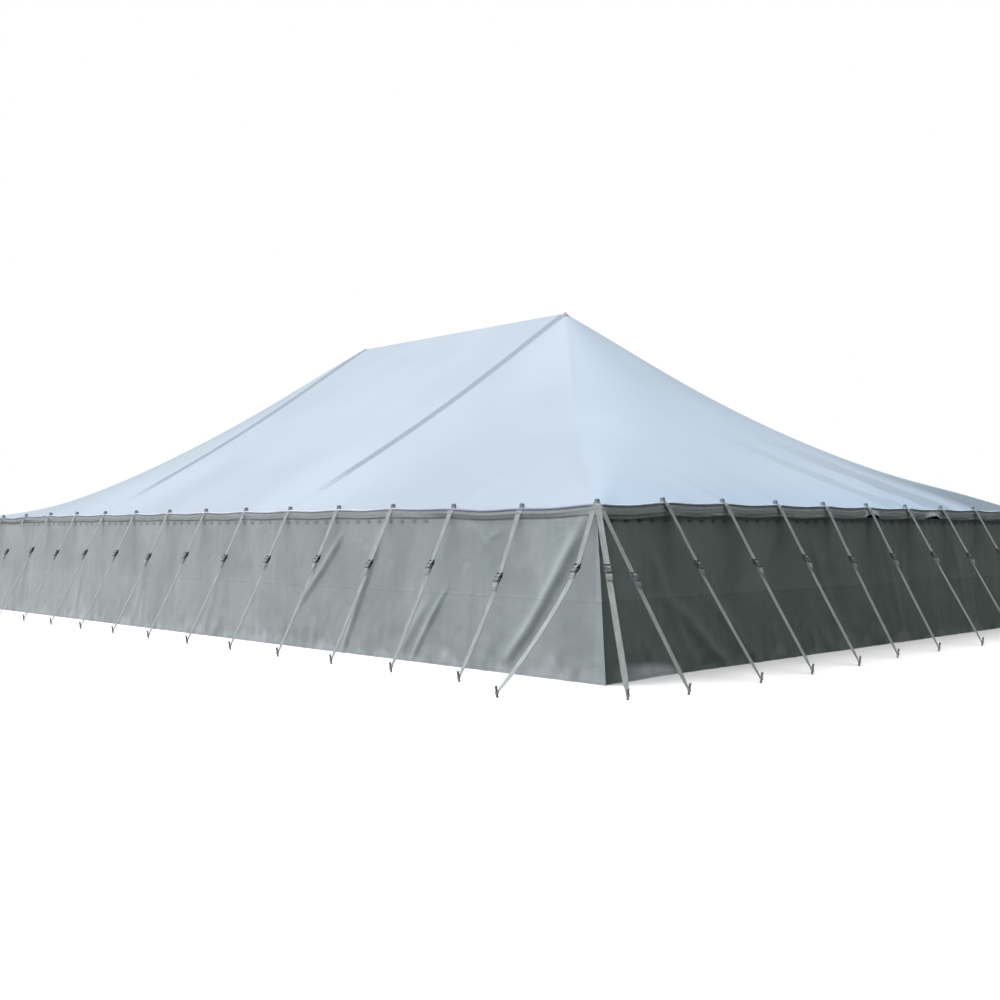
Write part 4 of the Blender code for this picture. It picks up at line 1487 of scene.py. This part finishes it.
def build_peak_caps(finish):
    """The moulded cap over each king pole's pin, with a skirt that lies on the cloth."""
    points, faces, _ = lathe(
        ((0, 0.0196), (0.019, 0.0196), (0.026, 0.0182), (0.029, 0.015), (0.033, 0.0125),
         (0.055, 0.012), (0.072, 0.0118), (0.075, 0.0105), (0.075, 0.007), (0.055, 0.007),
         (0.034, 0.007), (0.015, 0.007), (0.015, 0.0095), (0, 0.0095)), 40)
    for end, x in KING_POLES:
        placed = []
        for out_x, out_y, height in points:
            fall = roof_height(x, 0) - roof_height(x + out_x, out_y)
            fall *= smooth_step(math.hypot(out_x, out_y), 0.028, 0.045)
            placed.append((x + out_x, out_y, PEAK_HEIGHT + height - fall))
        cap = add_piece("peak_hood_" + end, (placed, faces, []), finish)
        settle_closed(cap, 50, "dark_cap", "peak_cap_" + end)


def finish_frame_nodes(finish):
    """A procedural finish for the frame's own nodes that stay in view."""
    for end, _ in KING_POLES:
        item = frame["nodes"]["king_pole_base_" + end]
        item.data.materials.clear()
        item.data.materials.append(finish)


def build_camera():
    """The photograph's viewpoint."""
    data = bpy.data.cameras.new("camera")
    data.sensor_width = SENSOR
    data.lens = FOCAL_PIXELS * SENSOR / FRAME_PIXELS
    data.clip_end = 500
    camera = add_object("camera", data)
    camera.location = CAMERA_PLACE
    camera.rotation_euler = (math.radians(90 + CAMERA_PITCH), 0, math.radians(CAMERA_YAW))
    bpy.context.scene.camera = camera


def add_sun(name, azimuth, elevation, strength, spread_angle, colour):
    """A soft distant light that shines from an azimuth and elevation in degrees."""
    data = bpy.data.lights.new(name, "SUN")
    data.energy = strength
    data.angle = math.radians(spread_angle)
    data.color = colour
    sun = add_object(name, data)
    turn, tilt = math.radians(azimuth), math.radians(elevation)
    away = Vector((math.cos(turn) * math.cos(tilt), math.sin(turn) * math.cos(tilt),
                   math.sin(tilt)))
    sun.rotation_euler = away.to_track_quat("Z", "Y").to_euler()
    return sun


def camera_share(tree, for_camera, for_light):
    """A value that the camera sees, and another that light meets."""
    seen = add_node(tree, "ShaderNodeLightPath")
    return add_node(tree, "ShaderNodeMapRange",
                    {"Value": seen.outputs["Is Camera Ray"], "To Min": for_light,
                     "To Max": for_camera}).outputs["Result"]


def build_floor():
    """A floor that looks white and throws little light back on the walls."""
    pale = Finish("pale_floor", 1.0, others=(("Specular IOR Level", 0.0),))
    reach = FLOOR_REACH
    corners = [(-reach, -reach, 0), (reach, -reach, 0), (reach, reach, 0), (-reach, reach, 0)]
    floor = add_piece("floor", (corners, [(0, 1, 2, 3)], []),
                      pale.done(camera_share(pale.tree, 0.82, 0.06)))


def build_surround():
    """A sky that looks white and lights the tent only a little."""
    world = bpy.data.worlds.new("surround")
    world.use_nodes = True
    tree = world.node_tree
    background = tree.nodes["Background"]
    background.inputs["Color"].default_value = (1.0, 1.0, 1.0, 1.0)
    tree.links.new(camera_share(tree, 1.0, SKY_STRENGTH), background.inputs["Strength"])
    bpy.context.scene.world = world


def light_group(name, belongs):
    """The meshes whose names pass a test, as a collection for a light."""
    group = bpy.data.collections.new(name)
    for item in bpy.context.scene.objects:
        if item.type == "MESH" and belongs(item.name):
            group.objects.link(item)
    return group


def build_lights():
    """An even light from above, and lights for the walls and the guys that leave the roof alone."""
    add_sun("top", *TOP_LIGHT)
    walls = light_group("walls", lambda name: not name.startswith(ROOF_PIECES + GUY_PIECES))
    guys = light_group("guys", lambda name: name.startswith(GUY_PIECES))
    cover = light_group("cover", lambda name: not name.startswith(GUY_PIECES))
    for name, values, group in (("key", KEY_LIGHT, walls), ("fill", FILL_LIGHT, walls),
                                ("guy_key", GUY_LIGHT, guys), ("guy_fill", GUY_FILL, guys)):
        links = add_sun(name, *values).light_linking
        links.receiver_collection = group
        links.blocker_collection = cover
    bpy.context.scene.view_settings.view_transform = "Standard"


TREES = {"scatter": scatter_tree(), "tube": tube_tree(), "loops": loop_tree()}


def build_tent():
    """Make every piece of the tent."""
    finishes = {
        "roof": roof_finish(),
        "edge": edge_finish(),
        "wall": wall_finish(),
        "strip": strip_finish(),
        "strap": webbing_finish("webbing", (0.312, 0.352, 0.336), (0.218, 0.248, 0.235)),
        "eave_webbing": eave_webbing_finish(),
        "steel": galvanised_finish("galvanised_steel", (0.52, 0.53, 0.54), (0.34, 0.35, 0.36), 0.38),
        "dark_steel": galvanised_finish("dark_steel", (0.18, 0.19, 0.20), (0.09, 0.095, 0.10), 0.5),
        "cap": moulded_finish("dark_cap", (0.085, 0.095, 0.105), (0.150, 0.162, 0.175)),
        "knob": moulded_finish("pole_knob", (0.150, 0.175, 0.210), (0.200, 0.230, 0.270), 0.78),
        "peak": moulded_finish("peak_cap", (0.36, 0.39, 0.43), (0.46, 0.49, 0.53), 0.78),
        "rope": rope_finish("wall_rope", (0.50, 0.50, 0.46), (0.25, 0.25, 0.23)),
        "lace": rope_finish("lace", (0.50, 0.58, 0.67), (0.36, 0.43, 0.50)),
        "hook": galvanised_finish("hook_steel", (0.62, 0.64, 0.66), (0.45, 0.46, 0.48), 0.35),
    }
    build_poles(finishes)
    build_king_poles(finishes["steel"])
    build_peak_caps(finishes["peak"])
    finish_frame_nodes(finishes["steel"])
    build_wall_ropes(finishes)
    build_roof(finishes["roof"])
    build_eave_bead(finishes["edge"])
    build_lacing(finishes)
    for side in SIDES:
        build_valance(side, finishes["wall"])
    build_curtains(finishes["wall"])
    build_guys(finishes)


build_camera()
build_floor()
build_surround()
build_tent()
build_lights()
